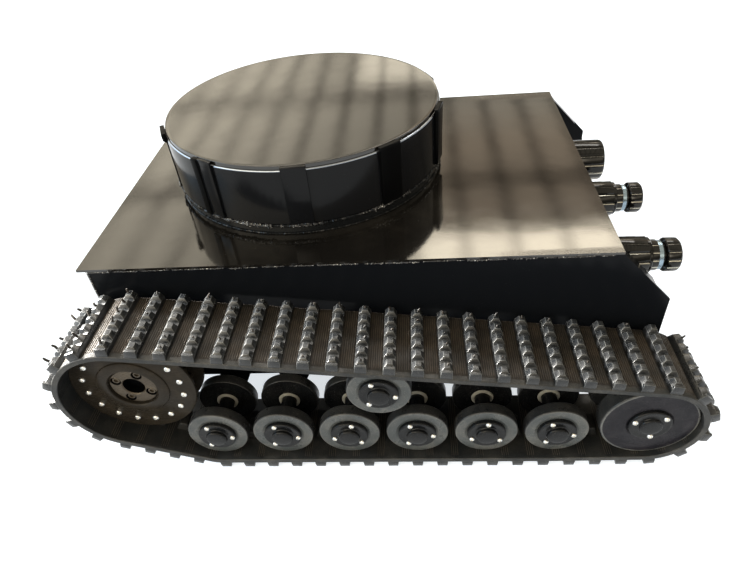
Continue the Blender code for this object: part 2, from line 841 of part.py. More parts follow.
def make_socket(name, y, flange_radius):
    profile = [
        (0, GAP),
        (0.0110, GAP),
        (0.0110, 0.0209),
        (SOCKET_BARREL, 0.0209),
        (SOCKET_BARREL, GAP + 0.003),
        (flange_radius, GAP + 0.003),
        (flange_radius, GAP),
        (SOCKET_BARREL, GAP),
        (SOCKET_BARREL, -0.019),
        (0, -0.019),
    ]
    along_x(name, profile, y, 16, "connector_shell")


def make_plug(number, y, shift):
    """Plug body: core inside the nut, shoulder, bright ring and neck, with a spigot for the end nut."""
    profile = [
        (0, 0.0745 + shift),
        (0.0120, 0.0745 + shift),
        (0.0120, 0.0616 + shift),
        (0.0150, 0.0616 + shift),
        (0.0150, 0.0583 + shift),
        (0.0170, 0.0583 + shift),
        (0.0170, 0.0533 + shift),
        (0.0180, 0.0533 + shift),
        (0.0180, 0.0453 + shift),
        (0.0155, 0.0453 + shift),
        (0.0155, 0.0219),
        (0.0107, 0.0219),
        (0.0107, 0.0049),
        (0, 0.0049),
    ]
    along_x(f"connector_plug_{number}", profile, y, 16, "connector_shell")


def make_coupling_nut(number, y, shift):
    profile = [
        (0.0158, 0.0450 + shift),
        (NUT_RADIUS, 0.0450 + shift),
        (NUT_RADIUS, 0.0041),
        (0.0158, 0.0041),
    ]
    name = f"coupling_nut_{number}"
    along_x(name, profile, y, 16, "connector_shell", closed=True)


def make_end_nut(number, y, shift):
    profile = [
        (0, 0.0782 + shift),
        (0.0172, 0.0782 + shift),
        (0.0195, 0.0758 + shift),
        (0.0195, 0.0619 + shift),
        (0.0123, 0.0619 + shift),
        (0.0123, 0.0748 + shift),
        (0, 0.0748 + shift),
    ]
    along_x(f"end_nut_{number}", profile, y, 16, "connector_shell")


def make_screw_cap():
    """Large ribbed cap on the unused connector."""
    profile = [
        (0, 0.0481),
        (CAPPED_RADIUS - 0.003, 0.0481),
        (CAPPED_RADIUS, 0.0451),
        (CAPPED_RADIUS, 0.0041),
        (0.0158, 0.0041),
        (0.0158, 0.0289),
        (0, 0.0289),
    ]
    along_x("connector_screw_cap", profile, CAP_Y, 24, "connector_shell")


def make_connectors():
    for number, (y, shift) in enumerate(zip(PLUG_YS, (0.0, -0.0059)), start=1):
        make_socket(f"connector_socket_{number}", y, 0.0205)
        make_plug(number, y, shift)
        make_coupling_nut(number, y, shift)
        make_end_nut(number, y, shift)
    make_socket("connector_socket_3", CAP_Y, 0.0250)
    make_screw_cap()


# ---- inside the hull ------------------------------------------------------------------------
def make_gear_motor(label, side):
    """Gear motor on the side plate's inner face, with a bore for the drive shaft's end."""
    profile = [
        (0, -0.014),
        (SHAFT_RADIUS + GAP, -0.014),
        (SHAFT_RADIUS + GAP, 0),
        (0.028, 0),
        (0.028, -0.034),
        (0.022, -0.034),
        (0.022, -0.116),
        (0, -0.116),
    ]
    seat = side * (HULL_SIDE - SHEET - GAP)
    motor = turned(
        f"gear_motor_{label}", profile, 16, (SPROCKET_X, seat, SPROCKET_Z), facing(side)
    )
    finish(motor, "motor_steel")


def make_electrics():
    floor = HULL_BOTTOM + SHEET + GAP
    battery = box("battery_pack", (0.165, 0.120, 0.072), (0.135, 0.0, floor + 0.036), 0.004)
    finish(battery, "battery_wrap")
    spot = (-0.075, 0.0, floor + 0.014)
    controller = box("motor_controller", (0.115, 0.085, 0.028), spot, 0.003)
    finish(controller, "controller_case")


def main():
    make_side_plate("left", SIDES["left"])
    make_side_plate("right", SIDES["right"])
    make_bottom_plate()
    make_front_plate()
    make_rear_panel()
    make_top_plate()
    make_neck()
    make_drum()
    make_lid()
    make_connectors()
    make_electrics()
    for label, side in SIDES.items():
        make_gear_motor(label, side)
        make_running_gear(label, side)


clear_scene()
PARTS = new_collection("tracked_tank_chassis")
HELPERS = new_collection("cutters")
MATERIALS = {name: make_material(name) for name in FINISHES}
PATH = path_pieces(belt_circles())
LUG_COUNT = round(belt_length() / LUG_PITCH)
main()
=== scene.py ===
"""Looks of the tracked tank chassis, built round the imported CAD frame. Metres, +Z up.

-X is the front (sprockets), -Y the left side.
"""
import math
import random

import bmesh
import bpy
from mathutils import Matrix, Vector
from mathutils.geometry import delaunay_2d_cdt


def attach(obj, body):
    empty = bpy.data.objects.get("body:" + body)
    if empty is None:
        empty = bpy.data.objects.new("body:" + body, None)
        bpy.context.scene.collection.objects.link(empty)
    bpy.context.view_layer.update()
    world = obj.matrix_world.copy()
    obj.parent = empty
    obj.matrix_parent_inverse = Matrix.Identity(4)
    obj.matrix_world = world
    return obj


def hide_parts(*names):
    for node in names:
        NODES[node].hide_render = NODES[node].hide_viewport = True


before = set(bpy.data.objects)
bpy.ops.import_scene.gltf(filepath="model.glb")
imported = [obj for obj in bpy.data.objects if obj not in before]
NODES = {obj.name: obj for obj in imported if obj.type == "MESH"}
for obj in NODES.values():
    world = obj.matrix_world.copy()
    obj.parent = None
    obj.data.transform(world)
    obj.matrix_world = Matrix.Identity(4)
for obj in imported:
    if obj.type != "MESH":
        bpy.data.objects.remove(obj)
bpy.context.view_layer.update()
SCENE = bpy.context.scene
SIDES = (("left", -1), ("right", 1))
MM = 0.001

# the frame's main lines, in millimetres
WHEEL_R, WHEEL_Z, WHEEL_X, WHEEL_STEP = 36.3, 54.6, -195.8, 80.0
SPROCKET, SPROCKET_R = (-281.7, 126.6), 72.9
IDLER, IDLER_R = (301.9, 73.4), 53.3
ROLLER = (3.9, 127.78)
TURRET = (-94.9, 20.0)
# each connector's Y and how much longer its nut is than NUT_END, then the capped one's Y
CONNECTORS, NUT_END = ((-174.5, 0.0), (-52.5, -5.9)), 45.0
CAP_Y = 51.1
CONNECTOR_X, CONNECTOR_Z = 266.7, 204.2
BELT_T, LUG_H, LUG_BAR, LUG_COUNT, LUG_PHASE = 6.5, 11.5, 6.5, 53, 0.04
BELT_IN, BELT_OUT = 223.7, 318.1
# crosswise distance to the outer face of the road wheels, their inner mates, the idlers, the sprockets
OUTER_FACE, INNER_FACE, SPOOL_FACE, DISC_FACE = 306.5, 256.1, 311.0, 291.8


# ---- mesh helpers
class Shape:
    """Points in millimetres and faces with a material number, gathered from several makers."""

    def __init__(self):
        self.points = []
        self.faces = []
        self.numbers = []

    def add(self, points, faces, number=0, place=None):
        first = len(self.points)
        if place is None:
            self.points += [tuple(p) for p in points]
        else:
            self.points += [tuple(place(p)) for p in points]
        self.faces += [tuple(first + i for i in face) for face in faces]
        self.numbers += list(number) if isinstance(number, list) else [number] * len(faces)

    def build(self, name, materials, flip_y=False, angle=35, weld=True):
        mesh = bpy.data.meshes.new(name)
        sign = -1 if flip_y else 1
        points = [(x * MM, y * MM * sign, z * MM) for x, y, z in self.points]
        mesh.from_pydata(points, [], self.faces)
        for material in materials:
            mesh.materials.append(material)
        mesh.polygons.foreach_set("material_index", self.numbers)
        body = bmesh.new()
        body.from_mesh(mesh)
        if weld:
            bmesh.ops.remove_doubles(body, verts=body.verts, dist=0.000002)
        bmesh.ops.recalc_face_normals(body, faces=body.faces)
        body.to_mesh(mesh)
        body.free()
        mesh.shade_smooth()
        mesh.set_sharp_from_angle(angle=math.radians(angle))
        obj = bpy.data.objects.new(name, mesh)
        SCENE.collection.objects.link(obj)
        return obj


def outward(x, z, face):
    """Places a turned shape on a crosswise axis: height runs outward from the left side's face."""
    return lambda p: (x + p[0], -face - p[2], z + p[1])


def rearward(y, z):
    """Places a turned shape on an axis along +X, from the rear sheet."""
    return lambda p: (CONNECTOR_X + p[2], y + p[0], z + p[1])


def upward(x, y):
    """Places a turned shape on an upright axis."""
    return lambda p: (x + p[0], y + p[1], p[2])


def around(x, y, radius, angle):
    """The point at a radius and an angle, in radians, from (x, y)."""
    return x + radius * math.cos(angle), y + radius * math.sin(angle)


def circle(x, y, radius, count):
    return [around(x, y, radius, math.tau * i / count) for i in range(count)]


def tube(rows, sides, closed=False, flip=True):
    """Faces between rows of points, sides to a row: a closed loop, or a tube with two flat ends, of
    which the first may run the other way round."""
    faces = []
    for k in range(rows if closed else rows - 1):
        a, b = k * sides, (k + 1) % rows * sides
        for i in range(sides):
            j = (i + 1) % sides
            faces.append((a + i, a + j, b + j, b + i))
    if not closed:
        faces.append(tuple(reversed(range(sides)) if flip else range(sides)))
        faces.append(tuple((rows - 1) * sides + i for i in range(sides)))
    return faces


# the least rise from one step of a fluted turning to the next that counts as a groove's edge, and a
# radius to measure it at: it is the same at any
STEP_RISE, STEP_RADIUS = 0.45, 20.0


def lathe(shape, profile, segments, place, number=0, closed=False, wave=None, step_number=None):
    """A ring of faces for each step of a (radius, height) profile. wave changes a radius by angle, and
    step_number is the material of the faces where it rises out of a groove: a painted highlight line there."""
    rings = []
    points = []
    for radius, height in profile:
        if radius < 1e-6:
            rings.append([len(points)] * segments)
            points.append((0, 0, height))
            continue
        rings.append(list(range(len(points), len(points) + segments)))
        for i in range(segments):
            a = math.tau * i / segments
            r = wave(radius, height, a) if wave else radius
            points.append((*around(0, 0, r, a), height))
    faces, numbers = [], []
    rises = [False] * segments
    # the faces on each groove's rising flank take step_number: painted highlight lines
    if step_number is not None:
        radii = [wave(STEP_RADIUS, 0.0, math.tau * i / segments) for i in range(segments + 1)]
        rises = [radii[i + 1] - radii[i] > STEP_RISE for i in range(segments)]
    pairs = list(zip(rings, rings[1:]))
    if closed:
        pairs.append((rings[-1], rings[0]))
    for first, second in pairs:
        for i in range(segments):
            j = (i + 1) % segments
            face = [first[i], first[j], second[j], second[i]]
            face = [p for n, p in enumerate(face) if p not in face[:n]]
            if len(face) > 2:
                faces.append(face)
                numbers.append(step_number if rises[i] else number)
    shape.add(points, faces, numbers, place)


def arc(center, radius, start, end, count):
    """Profile points on an arc, angles in degrees."""
    steps = [math.radians(start + (end - start) * i / count) for i in range(count + 1)]
    return [around(*center, radius, a) for a in steps]


def bevelled(points, faces, width, segments=2, number=0, edge_number=None):
    """A solid's points, faces and material numbers after its edges are rounded."""
    body = bmesh.new()
    verts = [body.verts.new(p) for p in points]
    for face in faces:
        body.faces.new([verts[i] for i in face]).material_index = number
    bmesh.ops.recalc_face_normals(body, faces=body.faces)
    bmesh.ops.bevel(
        body, geom=body.edges, offset=width, segments=segments, affect="EDGES", profile=0.5,
        clamp_overlap=True, material=-1 if edge_number is None else edge_number,
    )
    body.verts.index_update()
    numbers = [f.material_index for f in body.faces]
    made = [tuple(v.co) for v in body.verts], [[v.index for v in f.verts] for f in body.faces], numbers
    body.free()
    return made


HEX_FACES = ((0, 1, 2, 3), (7, 6, 5, 4), (0, 4, 5, 1), (1, 5, 6, 2), (2, 6, 7, 3), (3, 7, 4, 0))


def frustum(low, high):
    """Eight corners from two four-cornered loops."""
    return list(low) + list(high), [list(f) for f in HEX_FACES]


def pan_head(shape, place, radius, height):
    """A domed screw head with a six-sided socket."""
    dome = arc((radius - height, 0.0), height, 0, 80, 5)
    profile = [(radius, -0.6)] + dome + [(radius * 0.45, height), (radius * 0.40, height * 0.5)]
    lathe(shape, profile + [(0, height * 0.42)], 24, place)


def bead(shape, path, radius, number=0, seed=1, closed=False, ripple=2.2, rough=0.35, sides=7):
    """A weld bead: a tube whose section swells with each ripple and wanders a little."""
    rng = random.Random(seed)
    points = []
    count = len(path)
    travelled = 0.0
    wander = 0.0
    lump = 1.0
    for k in range(count):
        here = Vector(path[k])
        after = Vector(path[(k + 1) % count] if closed or k + 1 < count else path[k])
        before = Vector(path[(k - 1) % count] if closed or k else path[k])
        ahead = (after - before).normalized()
        side = ahead.cross(Vector((0, 0, 1)))
        side = side.normalized() if side.length > 0.1 else Vector((1, 0, 0))
        up = side.cross(ahead)
        travelled += (here - before).length
        wander = 0.8 * wander + rng.uniform(-0.3, 0.3) * rough
        lump = 0.7 * lump + 0.3 * rng.uniform(1 - rough, 1 + rough)
        swell = lump * (1 + 0.16 * math.sin(math.tau * travelled / ripple))
        for i in range(sides):
            a = math.tau * i / sides
            r = radius * swell * rng.uniform(1 - rough * 0.3, 1 + rough * 0.3)
            points.append(here + side * (r * math.cos(a) + wander) + up * r * math.sin(a))
    shape.add(points, tube(count, sides, closed, flip=False), number)


# the steps along a straight bead and round a ring
BEAD_STEP, RING_STEP = 0.8, 0.9


def straight(start, end):
    a, b = Vector(start), Vector(end)
    count = max(2, int((b - a).length / BEAD_STEP))
    return [a.lerp(b, i / count) for i in range(count + 1)]


def ring_path(x, y, z, radius, start=0.0, end=360.0):
    count = int(math.radians(abs(end - start)) * radius / RING_STEP)
    angles = [math.radians(start + (end - start) * i / count) for i in range(count)]
    return [(*around(x, y, radius, a), z) for a in angles]


def show(obj, body, slot, *nodes):
    """Hangs a piece on a body, in place of some of the frame's own nodes."""
    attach(obj, body)
    if nodes:
        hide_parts(*nodes)


def emit(shape, name, materials, body, slot, nodes=(), angle=35, weld=True):
    """Builds a left-hand shape and its right-hand twin. {s} in names is the side."""
    for label, side in SIDES:
        obj = shape.build(name.format(s=label), materials, side > 0, angle, weld)
        show(obj, body.format(s=label), slot, *[n.format(s=label) for n in nodes])


# ---- materials
class Wiring:
    """Short ways to add nodes to a tree and to join them."""

    def __init__(self, tree):
        self.tree = tree

    def node(self, kind, **settings):
        node = self.tree.nodes.new(kind)
        for key, value in settings.items():
            setattr(node, key, value)
        return node

    def link(self, source, target):
        self.tree.links.new(source, target)

    def ramp(self, value, low, high, out_low=0.0, out_high=1.0):
        """A smooth step of value between low and high."""
        node = self.node("ShaderNodeMapRange", interpolation_type="SMOOTHSTEP")
        limits = {"From Min": low, "From Max": high, "To Min": out_low, "To Max": out_high}
        for name, number in limits.items():
            node.inputs[name].default_value = number
        self.link(value, node.inputs["Value"])
        return node.outputs["Result"]

    def math(self, operation, a, b=0.0):
        node = self.node("ShaderNodeMath", operation=operation)
        for socket, value in zip(node.inputs, (a, b)):
            if isinstance(value, (int, float)):
                socket.default_value = value
            else:
                self.link(value, socket)
        return node.outputs[0]

    def times(self, a, b):
        return self.math("MULTIPLY", a, b)

    def split(self, vector):
        """The X, Y and Z outputs of a vector."""
        node = self.node("ShaderNodeSeparateXYZ")
        self.link(vector, node.inputs[0])
        return node.outputs

    def mix(self, factor, first, second):
        node = self.node("ShaderNodeMix", data_type="RGBA")
        colors = [s for s in node.inputs if s.type == "RGBA"]
        self.link(factor, node.inputs[0])
        for socket, value in zip(colors, (first, second)):
            if isinstance(value, tuple):
                socket.default_value = (*value, 1)
            else:
                self.link(value, socket)
        return next(s for s in node.outputs if s.type == "RGBA")


class Paint(Wiring):
    """A Principled material with procedural detail wired into it."""

    def __init__(self, name, color, roughness, metallic=0.0, ior=1.5):
        self.material = bpy.data.materials.new(name)
        self.material.use_nodes = True
        super().__init__(self.material.node_tree)
        self.shader = self.tree.nodes["Principled BSDF"]
        self.shader.inputs["Base Color"].default_value = (*color, 1)
        self.shader.inputs["Roughness"].default_value = roughness
        self.shader.inputs["Metallic"].default_value = metallic
        self.shader.inputs["IOR"].default_value = ior
        self.material.diffuse_color = (*color, 1)
        self.coords = self.tree.nodes.new("ShaderNodeTexCoord")

    def noise(self, scale, detail=4.0, rough=0.55, stretch=None):
        """Noise in object space, at scale cells to the metre."""
        source = self.coords.outputs["Object"]
        if stretch:
            mapping = self.node("ShaderNodeMapping")
            mapping.inputs["Scale"].default_value = stretch
            self.link(source, mapping.inputs["Vector"])
            source = mapping.outputs["Vector"]
        node = self.node("ShaderNodeTexNoise")
        node.inputs["Scale"].default_value = scale
        node.inputs["Detail"].default_value = detail
        node.inputs["Roughness"].default_value = rough
        self.link(source, node.inputs["Vector"])
        return node.outputs["Fac"]

    def facing_up(self):
        """1 where the surface faces up."""
        normal = self.node("ShaderNodeNewGeometry").outputs["Normal"]
        return self.ramp(self.split(normal)["Z"], 0.2, 0.9)

    def color(self, value):
        self.link(value, self.shader.inputs["Base Color"])

    def roughness(self, value):
        self.link(value, self.shader.inputs["Roughness"])

    def bump(self, *layers):
        """Each layer is (height, strength, distance in metres)."""
        normal = None
        for height, strength, distance in layers:
            node = self.node("ShaderNodeBump")
            node.inputs["Strength"].default_value = strength
            node.inputs["Distance"].default_value = distance
            self.link(height, node.inputs["Height"])
            if normal:
                self.link(normal, node.inputs["Normal"])
            normal = node.outputs["Normal"]
        self.link(normal, self.shader.inputs["Normal"])


DUST = (0.50, 0.45, 0.37)


def gloss_paint(name, color, ior, dust, waviness, gloss=(0.045, 0.13), sandy=False):
    """Hand-sprayed black gloss: dust, fine scratches, a slight waviness and tiny paint nibs."""
    paint = Paint(name, color, 0.08, ior=ior)
    dusty = paint.ramp(paint.noise(9, 6, 0.65), 0.42, 0.75)
    specks = paint.ramp(paint.noise(420, 2), 0.72, 0.79)
    scratch = paint.ramp(paint.noise(60, 5, 0.7, (1.0, 14.0, 1.0)), 0.66, 0.74)
    up = paint.facing_up()
    veil = paint.times(paint.times(dusty, up), dust)
    veil = paint.math("ADD", veil, paint.times(specks, dust * 2.5))
    veil = paint.math("ADD", veil, paint.times(scratch, dust * 0.8))
    smears = paint.ramp(paint.noise(5, 6, 0.7, (1.0, 2.5, 1.0)), 0.35, 0.72, *gloss)
    rough = paint.math("ADD", smears, paint.times(specks, 0.25))
    layers = [(paint.noise(14, 2), waviness, 0.004), (paint.noise(650, 2), 0.05, 0.0004)]
    if sandy:
        # ragged strips of grit along both long edges, towards the rear
        x, y, _ = paint.split(paint.coords.outputs["Object"])
        edges = paint.math("MAXIMUM", paint.ramp(y, -0.203, -0.212), paint.ramp(y, 0.188, 0.206))
        band = paint.times(edges, paint.ramp(x, 0.10, 0.20))
        ragged = paint.ramp(paint.times(band, paint.noise(150, 5, 0.75)), 0.46, 0.62)
        veil = paint.math("ADD", veil, paint.times(ragged, 0.08))
        rough = paint.math("ADD", rough, paint.times(ragged, 0.12))
        grit = paint.times(paint.noise(330, 5, 0.7), band)
        layers.append((grit, 0.30, 0.0006))
    paint.color(paint.mix(veil, color, DUST))
    paint.roughness(rough)
    paint.bump(*layers)
    return paint.material


def rubber(name, color, dust_color, dust, roughness, speckle=0.0, ior=1.38, speck_color=(0.42, 0.40, 0.37)):
    """Moulded rubber with clouds of dust and a fine skin."""
    paint = Paint(name, color, roughness, ior=ior)
    cloud = paint.ramp(paint.noise(35, 7, 0.7), 0.38, 0.68)
    fine = paint.ramp(paint.noise(900, 3, 0.6), 0.45, 0.70)
    veil = paint.times(paint.times(cloud, paint.math("ADD", fine, 0.6)), dust)
    tone = paint.mix(veil, color, dust_color)
    if speckle:
        dots = paint.ramp(paint.noise(1300, 2), 0.66, 0.72, 0.0, speckle)
        tone = paint.mix(dots, tone, speck_color)
    paint.color(tone)
    paint.roughness(paint.ramp(paint.noise(60, 5), 0.3, 0.7, roughness - 0.12, roughness + 0.12))
    paint.bump((paint.noise(700, 4), 0.25, 0.0004), (paint.noise(90, 4), 0.25, 0.0008))
    return paint.material


def worn_metal(name, color, roughness, metallic, streak=0.3, dirt=0.25, dirt_color=(0.08, 0.06, 0.045),
               ior=1.5):
    """Metal with clouds of dirt and fine lines worn one way."""
    paint = Paint(name, color, roughness, metallic, ior)
    cloud = paint.ramp(paint.noise(45, 6, 0.65), 0.42, 0.72, 0.0, dirt)
    paint.color(paint.mix(cloud, color, dirt_color))
    lines = paint.noise(180, 5, 0.6, (1.0, 1.0, 12.0))
    paint.roughness(paint.ramp(lines, 0.3, 0.7, roughness * (1 - streak), roughness * (1 + streak)))
    paint.bump((paint.noise(1100, 3), 0.12, 0.0003))
    return paint.material


def weld_metal(name):
    """Painted weld with pale spots painted in as glints."""
    paint = Paint(name, (0.020, 0.020, 0.022), 0.22, 0.0, ior=1.6)
    painted_glint = paint.ramp(paint.noise(520, 3, 0.6), 0.60, 0.66)
    paint.color(paint.mix(painted_glint, (0.016, 0.016, 0.018), (0.55, 0.54, 0.52)))
    paint.roughness(paint.ramp(paint.noise(260, 3), 0.35, 0.65, 0.10, 0.38))
    paint.bump((paint.noise(800, 4, 0.7), 0.7, 0.0012))
    return paint.material


def shell_metal(name, color, roughness):
    """Smooth black shell, a little dirty."""
    paint = Paint(name, color, roughness, 0.0, ior=1.33)
    cloud = paint.ramp(paint.noise(80, 5), 0.50, 0.80, 0.0, 0.06)
    paint.color(paint.mix(cloud, color, (0.09, 0.08, 0.06)))
    paint.roughness(paint.ramp(paint.noise(140, 4), 0.3, 0.7, roughness * 0.7, roughness * 1.4))
    paint.bump((paint.noise(1500, 2), 0.06, 0.0002))
    return paint.material


HULL = gloss_paint("hull_paint", (0.0040, 0.0048, 0.0060), 1.30, 0.006, 0.05)
SIDE = gloss_paint("side_paint", (0.0042, 0.0050, 0.0066), 1.14, 0.006, 0.04, gloss=(0.14, 0.24))
DRUM = gloss_paint("drum_paint", (0.0042, 0.0046, 0.0056), 1.22, 0.006, 0.04, gloss=(0.12, 0.22))
# a darker, duller copy of the black paint that stands in for shade: painted shade on the left-side clips
# that look black, the tensioner behind the idler, and the hub's bore and socket pockets
PAINTED_SHADE = gloss_paint("painted_shade_paint", (0.0016, 0.0017, 0.0020), 1.12, 0.002, 0.04, gloss=(0.30, 0.40))
DECK = gloss_paint("deck_paint", (0.0050, 0.0046, 0.0042), 1.62, 0.016, 0.045, (0.04, 0.10), sandy=True)
RIM_EDGE = worn_metal("rim_edge", (0.30, 0.33, 0.38), 0.14, 1.0, dirt=0.05)
LID = gloss_paint("lid_paint", (0.0060, 0.0055, 0.0046), 1.60, 0.016, 0.030, gloss=(0.03, 0.10))
# the beads' pale spots are painted glints
WELD = weld_metal("weld_bead")
LUG = rubber("lug_rubber", (0.0072, 0.0084, 0.0100), (0.074, 0.074, 0.072), 0.14, 0.31, 0.20, ior=1.42)
# lighter rubber on the lugs' rounded edges: partly worn edges, partly a painted highlight
LUG_EDGE = rubber("lug_edge", (0.032, 0.035, 0.037), (0.17, 0.17, 0.16), 0.32, 0.32, 0.2, ior=1.45)
BAND = rubber("band_rubber", (0.0075, 0.0066, 0.0057), (0.065, 0.048, 0.034), 0.28, 0.60)
RIB = rubber("rib_rubber", (0.026, 0.0215, 0.017), (0.10, 0.075, 0.052), 0.40, 0.52)
EDGE = rubber("edge_rubber", (0.011, 0.0122, 0.0130), (0.12, 0.112, 0.098), 0.26, 0.40, 0.2, ior=1.3)
INSIDE = rubber("inner_rubber", (0.0085, 0.0095, 0.0105), (0.060, 0.056, 0.048), 0.25, 0.42, 0.08, ior=1.3)
LINE = rubber("inner_line", (0.060, 0.054, 0.044), (0.16, 0.13, 0.10), 0.40, 0.50)
TYRE = rubber("tyre_tread", (0.011, 0.012, 0.0135), (0.12, 0.115, 0.105), 0.14, 0.36, 0.4)
FACE = rubber("wheel_face", (0.038, 0.044, 0.047), (0.22, 0.21, 0.19), 0.26, 0.36, 0.4, ior=1.35)
IDLER_FACE = rubber("idler_face", (0.0075, 0.0075, 0.0105), (0.070, 0.065, 0.075), 0.18, 0.28, 0.2, ior=1.18)
HUB_PLASTIC = rubber("hub_plastic", (0.0038, 0.0044, 0.0054), (0.12, 0.115, 0.11), 0.04, 0.13, 0.2, ior=1.25)
# a lighter rubber for the tyres' rounded shoulders
PALE_SHOULDER = rubber("pale_shoulder", (0.050, 0.053, 0.054), (0.20, 0.195, 0.18), 0.45, 0.35)
# pale metal on one flank of each groove of the fluted knobs and collars: painted highlight lines
HIGHLIGHT_EDGE = worn_metal("painted_highlight_edge", (0.40, 0.39, 0.35), 0.25, 0.8, dirt=0.2)
BEARING = worn_metal("bearing_ring", (0.42, 0.41, 0.36), 0.45, 0.2, dirt=0.5)
SCREW = worn_metal("screw_steel", (0.72, 0.72, 0.70), 0.26, 1.0, dirt=0.15)
DISC = worn_metal("sprocket_steel", (0.017, 0.0145, 0.0115), 0.24, 0.0, dirt=0.35,
                  dirt_color=(0.045, 0.036, 0.025), ior=1.15)
HUB_STEEL = worn_metal("hub_steel", (0.046, 0.036, 0.025), 0.32, 0.4, dirt=0.4,
                       dirt_color=(0.10, 0.080, 0.052), ior=1.3)
SHELL = shell_metal("connector_shell", (0.0030, 0.0032, 0.0032), 0.07)
RING = worn_metal("connector_ring", (0.25, 0.33, 0.40), 0.25, 1.0, dirt=0.1)
MOTOR = worn_metal("motor_steel", (0.32, 0.33, 0.34), 0.35, 0.9)
BATTERY = rubber("battery_wrap", (0.03, 0.07, 0.16), (0.2, 0.2, 0.2), 0.15, 0.40)
CASE = worn_metal("controller_case", (0.10, 0.11, 0.12), 0.40, 0.8)


# ---- the belt's path
# clearance under the road wheels, and the radii the belt's inner face bends to at the idler and sprocket
WHEEL_GAP, IDLER_BEND, SPROCKET_BEND = 0.3, 53.6, 73.2


def tangent(first, second):
    """Both ends and the outward angle of the straight run from one (x, z, radius) circle to the next."""
    (x1, z1, r1), (x2, z2, r2) = first, second
    along = math.atan2(z2 - z1, x2 - x1)
    normal = along - math.acos((r1 - r2) / math.hypot(x2 - x1, z2 - z1))
    n = Vector(around(0, 0, 1, normal))
    return Vector((x1, z1)) + n * r1, Vector((x2, z2)) + n * r2, normal


def belt_path():
    """Straight runs and arcs of the belt's inner face, anticlockwise from the lower run."""
    circles = [
        (WHEEL_X, WHEEL_Z, WHEEL_R + WHEEL_GAP),
        (WHEEL_X + 5 * WHEEL_STEP, WHEEL_Z, WHEEL_R + WHEEL_GAP),
        (*IDLER, IDLER_BEND),
        (*SPROCKET, SPROCKET_BEND),
    ]
    runs = [tangent(a, b) for a, b in zip(circles, circles[1:] + circles[:1])]
    pieces = []
    for i, (start, end, normal) in enumerate(runs):
        x, z, radius = circles[(i + 1) % len(circles)]
        turn = (runs[(i + 1) % len(runs)][2] - normal) % math.tau
        pieces.append(("run", (end - start).length, start, end, normal))
        pieces.append(("arc", turn * radius, Vector((x, z)), radius, normal))
    return pieces


PATH = belt_path()
PATH_LENGTH = sum(piece[1] for piece in PATH)
PITCH = PATH_LENGTH / LUG_COUNT


def path_at(distance):
    """(point, outward direction) in XZ at a distance along the inner face."""
    distance %= PATH_LENGTH
    for kind, length, a, b, normal in PATH:
        if distance > length:
            distance -= length
            continue
        if kind == "run":
            return a.lerp(b, distance / length), Vector(around(0, 0, 1, normal))
        n = Vector(around(0, 0, 1, normal + distance / b))
        return a + n * b, n
    return path_at(0)


def on_belt(distance):
    """Places (along, D, height) points square to the belt at a distance; height 0 is the outer face."""
    point, n = path_at(distance)
    ahead = Vector((-n.y, n.x))

    def place(p):
        spot = point + ahead * p[0] + n * (BELT_T + p[2])
        return spot.x, -p[1], spot.y

    return place


# ---- belt
# offsets of the outer face's ribs from a lug's middle
RIBS = [8.95 + 2.37 * k for k in range(6)]
# material number of each strip round the band's section, from its inboard outer edge: 1 is the band, 2
# its edges, 3 the inner face; a rib is 4, a line 5, and a lug 0 with 6 on its rounded edges
BAND_PARTS = (2, 1, 1, 1, 2, 2, 2, 2, 3, 3, 3, 3, 2)
# offsets of the inner face's lines from the middle between two lugs
LINES = (-3.6, -1.2, 1.2, 3.6)
# strips of the band that carry the ribs, the lines and the nicks, where a nick starts, and the height
# from which a rib or a line is worn
RIB_STRIP, LINE_STRIP, EDGE_STRIP, NICK_AT, CREST = 2, 9, 6, 8.15, 0.4


def belt_samples():
    """Offsets from a lug's middle, each with the outer face's and the inner face's height there."""
    samples = [(-7.2, 0.0, 0.0), (0.0001, 0.0, 0.0), (7.2, 0.0, 0.0)]
    for c in RIBS:
        samples += [(c - 0.80, -0.15, 0), (c - 0.42, 0.42, 0), (c + 0.42, 0.42, 0), (c + 0.80, -0.15, 0)]
    middle = PITCH / 2
    for c in LINES:
        c += middle
        samples += [(c - 0.50, None, 0), (c - 0.22, None, 0.45), (c + 0.22, None, 0.45), (c + 0.50, None, 0)]
    samples.sort()
    known = [s for s in samples if s[1] is not None]
    filled = []
    for t, outer, inner in samples:
        if outer is None:
            below = max(s for s in known if s[0] <= t)
            above = min(s for s in known if s[0] > t)
            share = (t - below[0]) / (above[0] - below[0])
            outer = below[1] + (above[1] - below[1]) * share
        filled.append((t, outer, inner))
    return filled


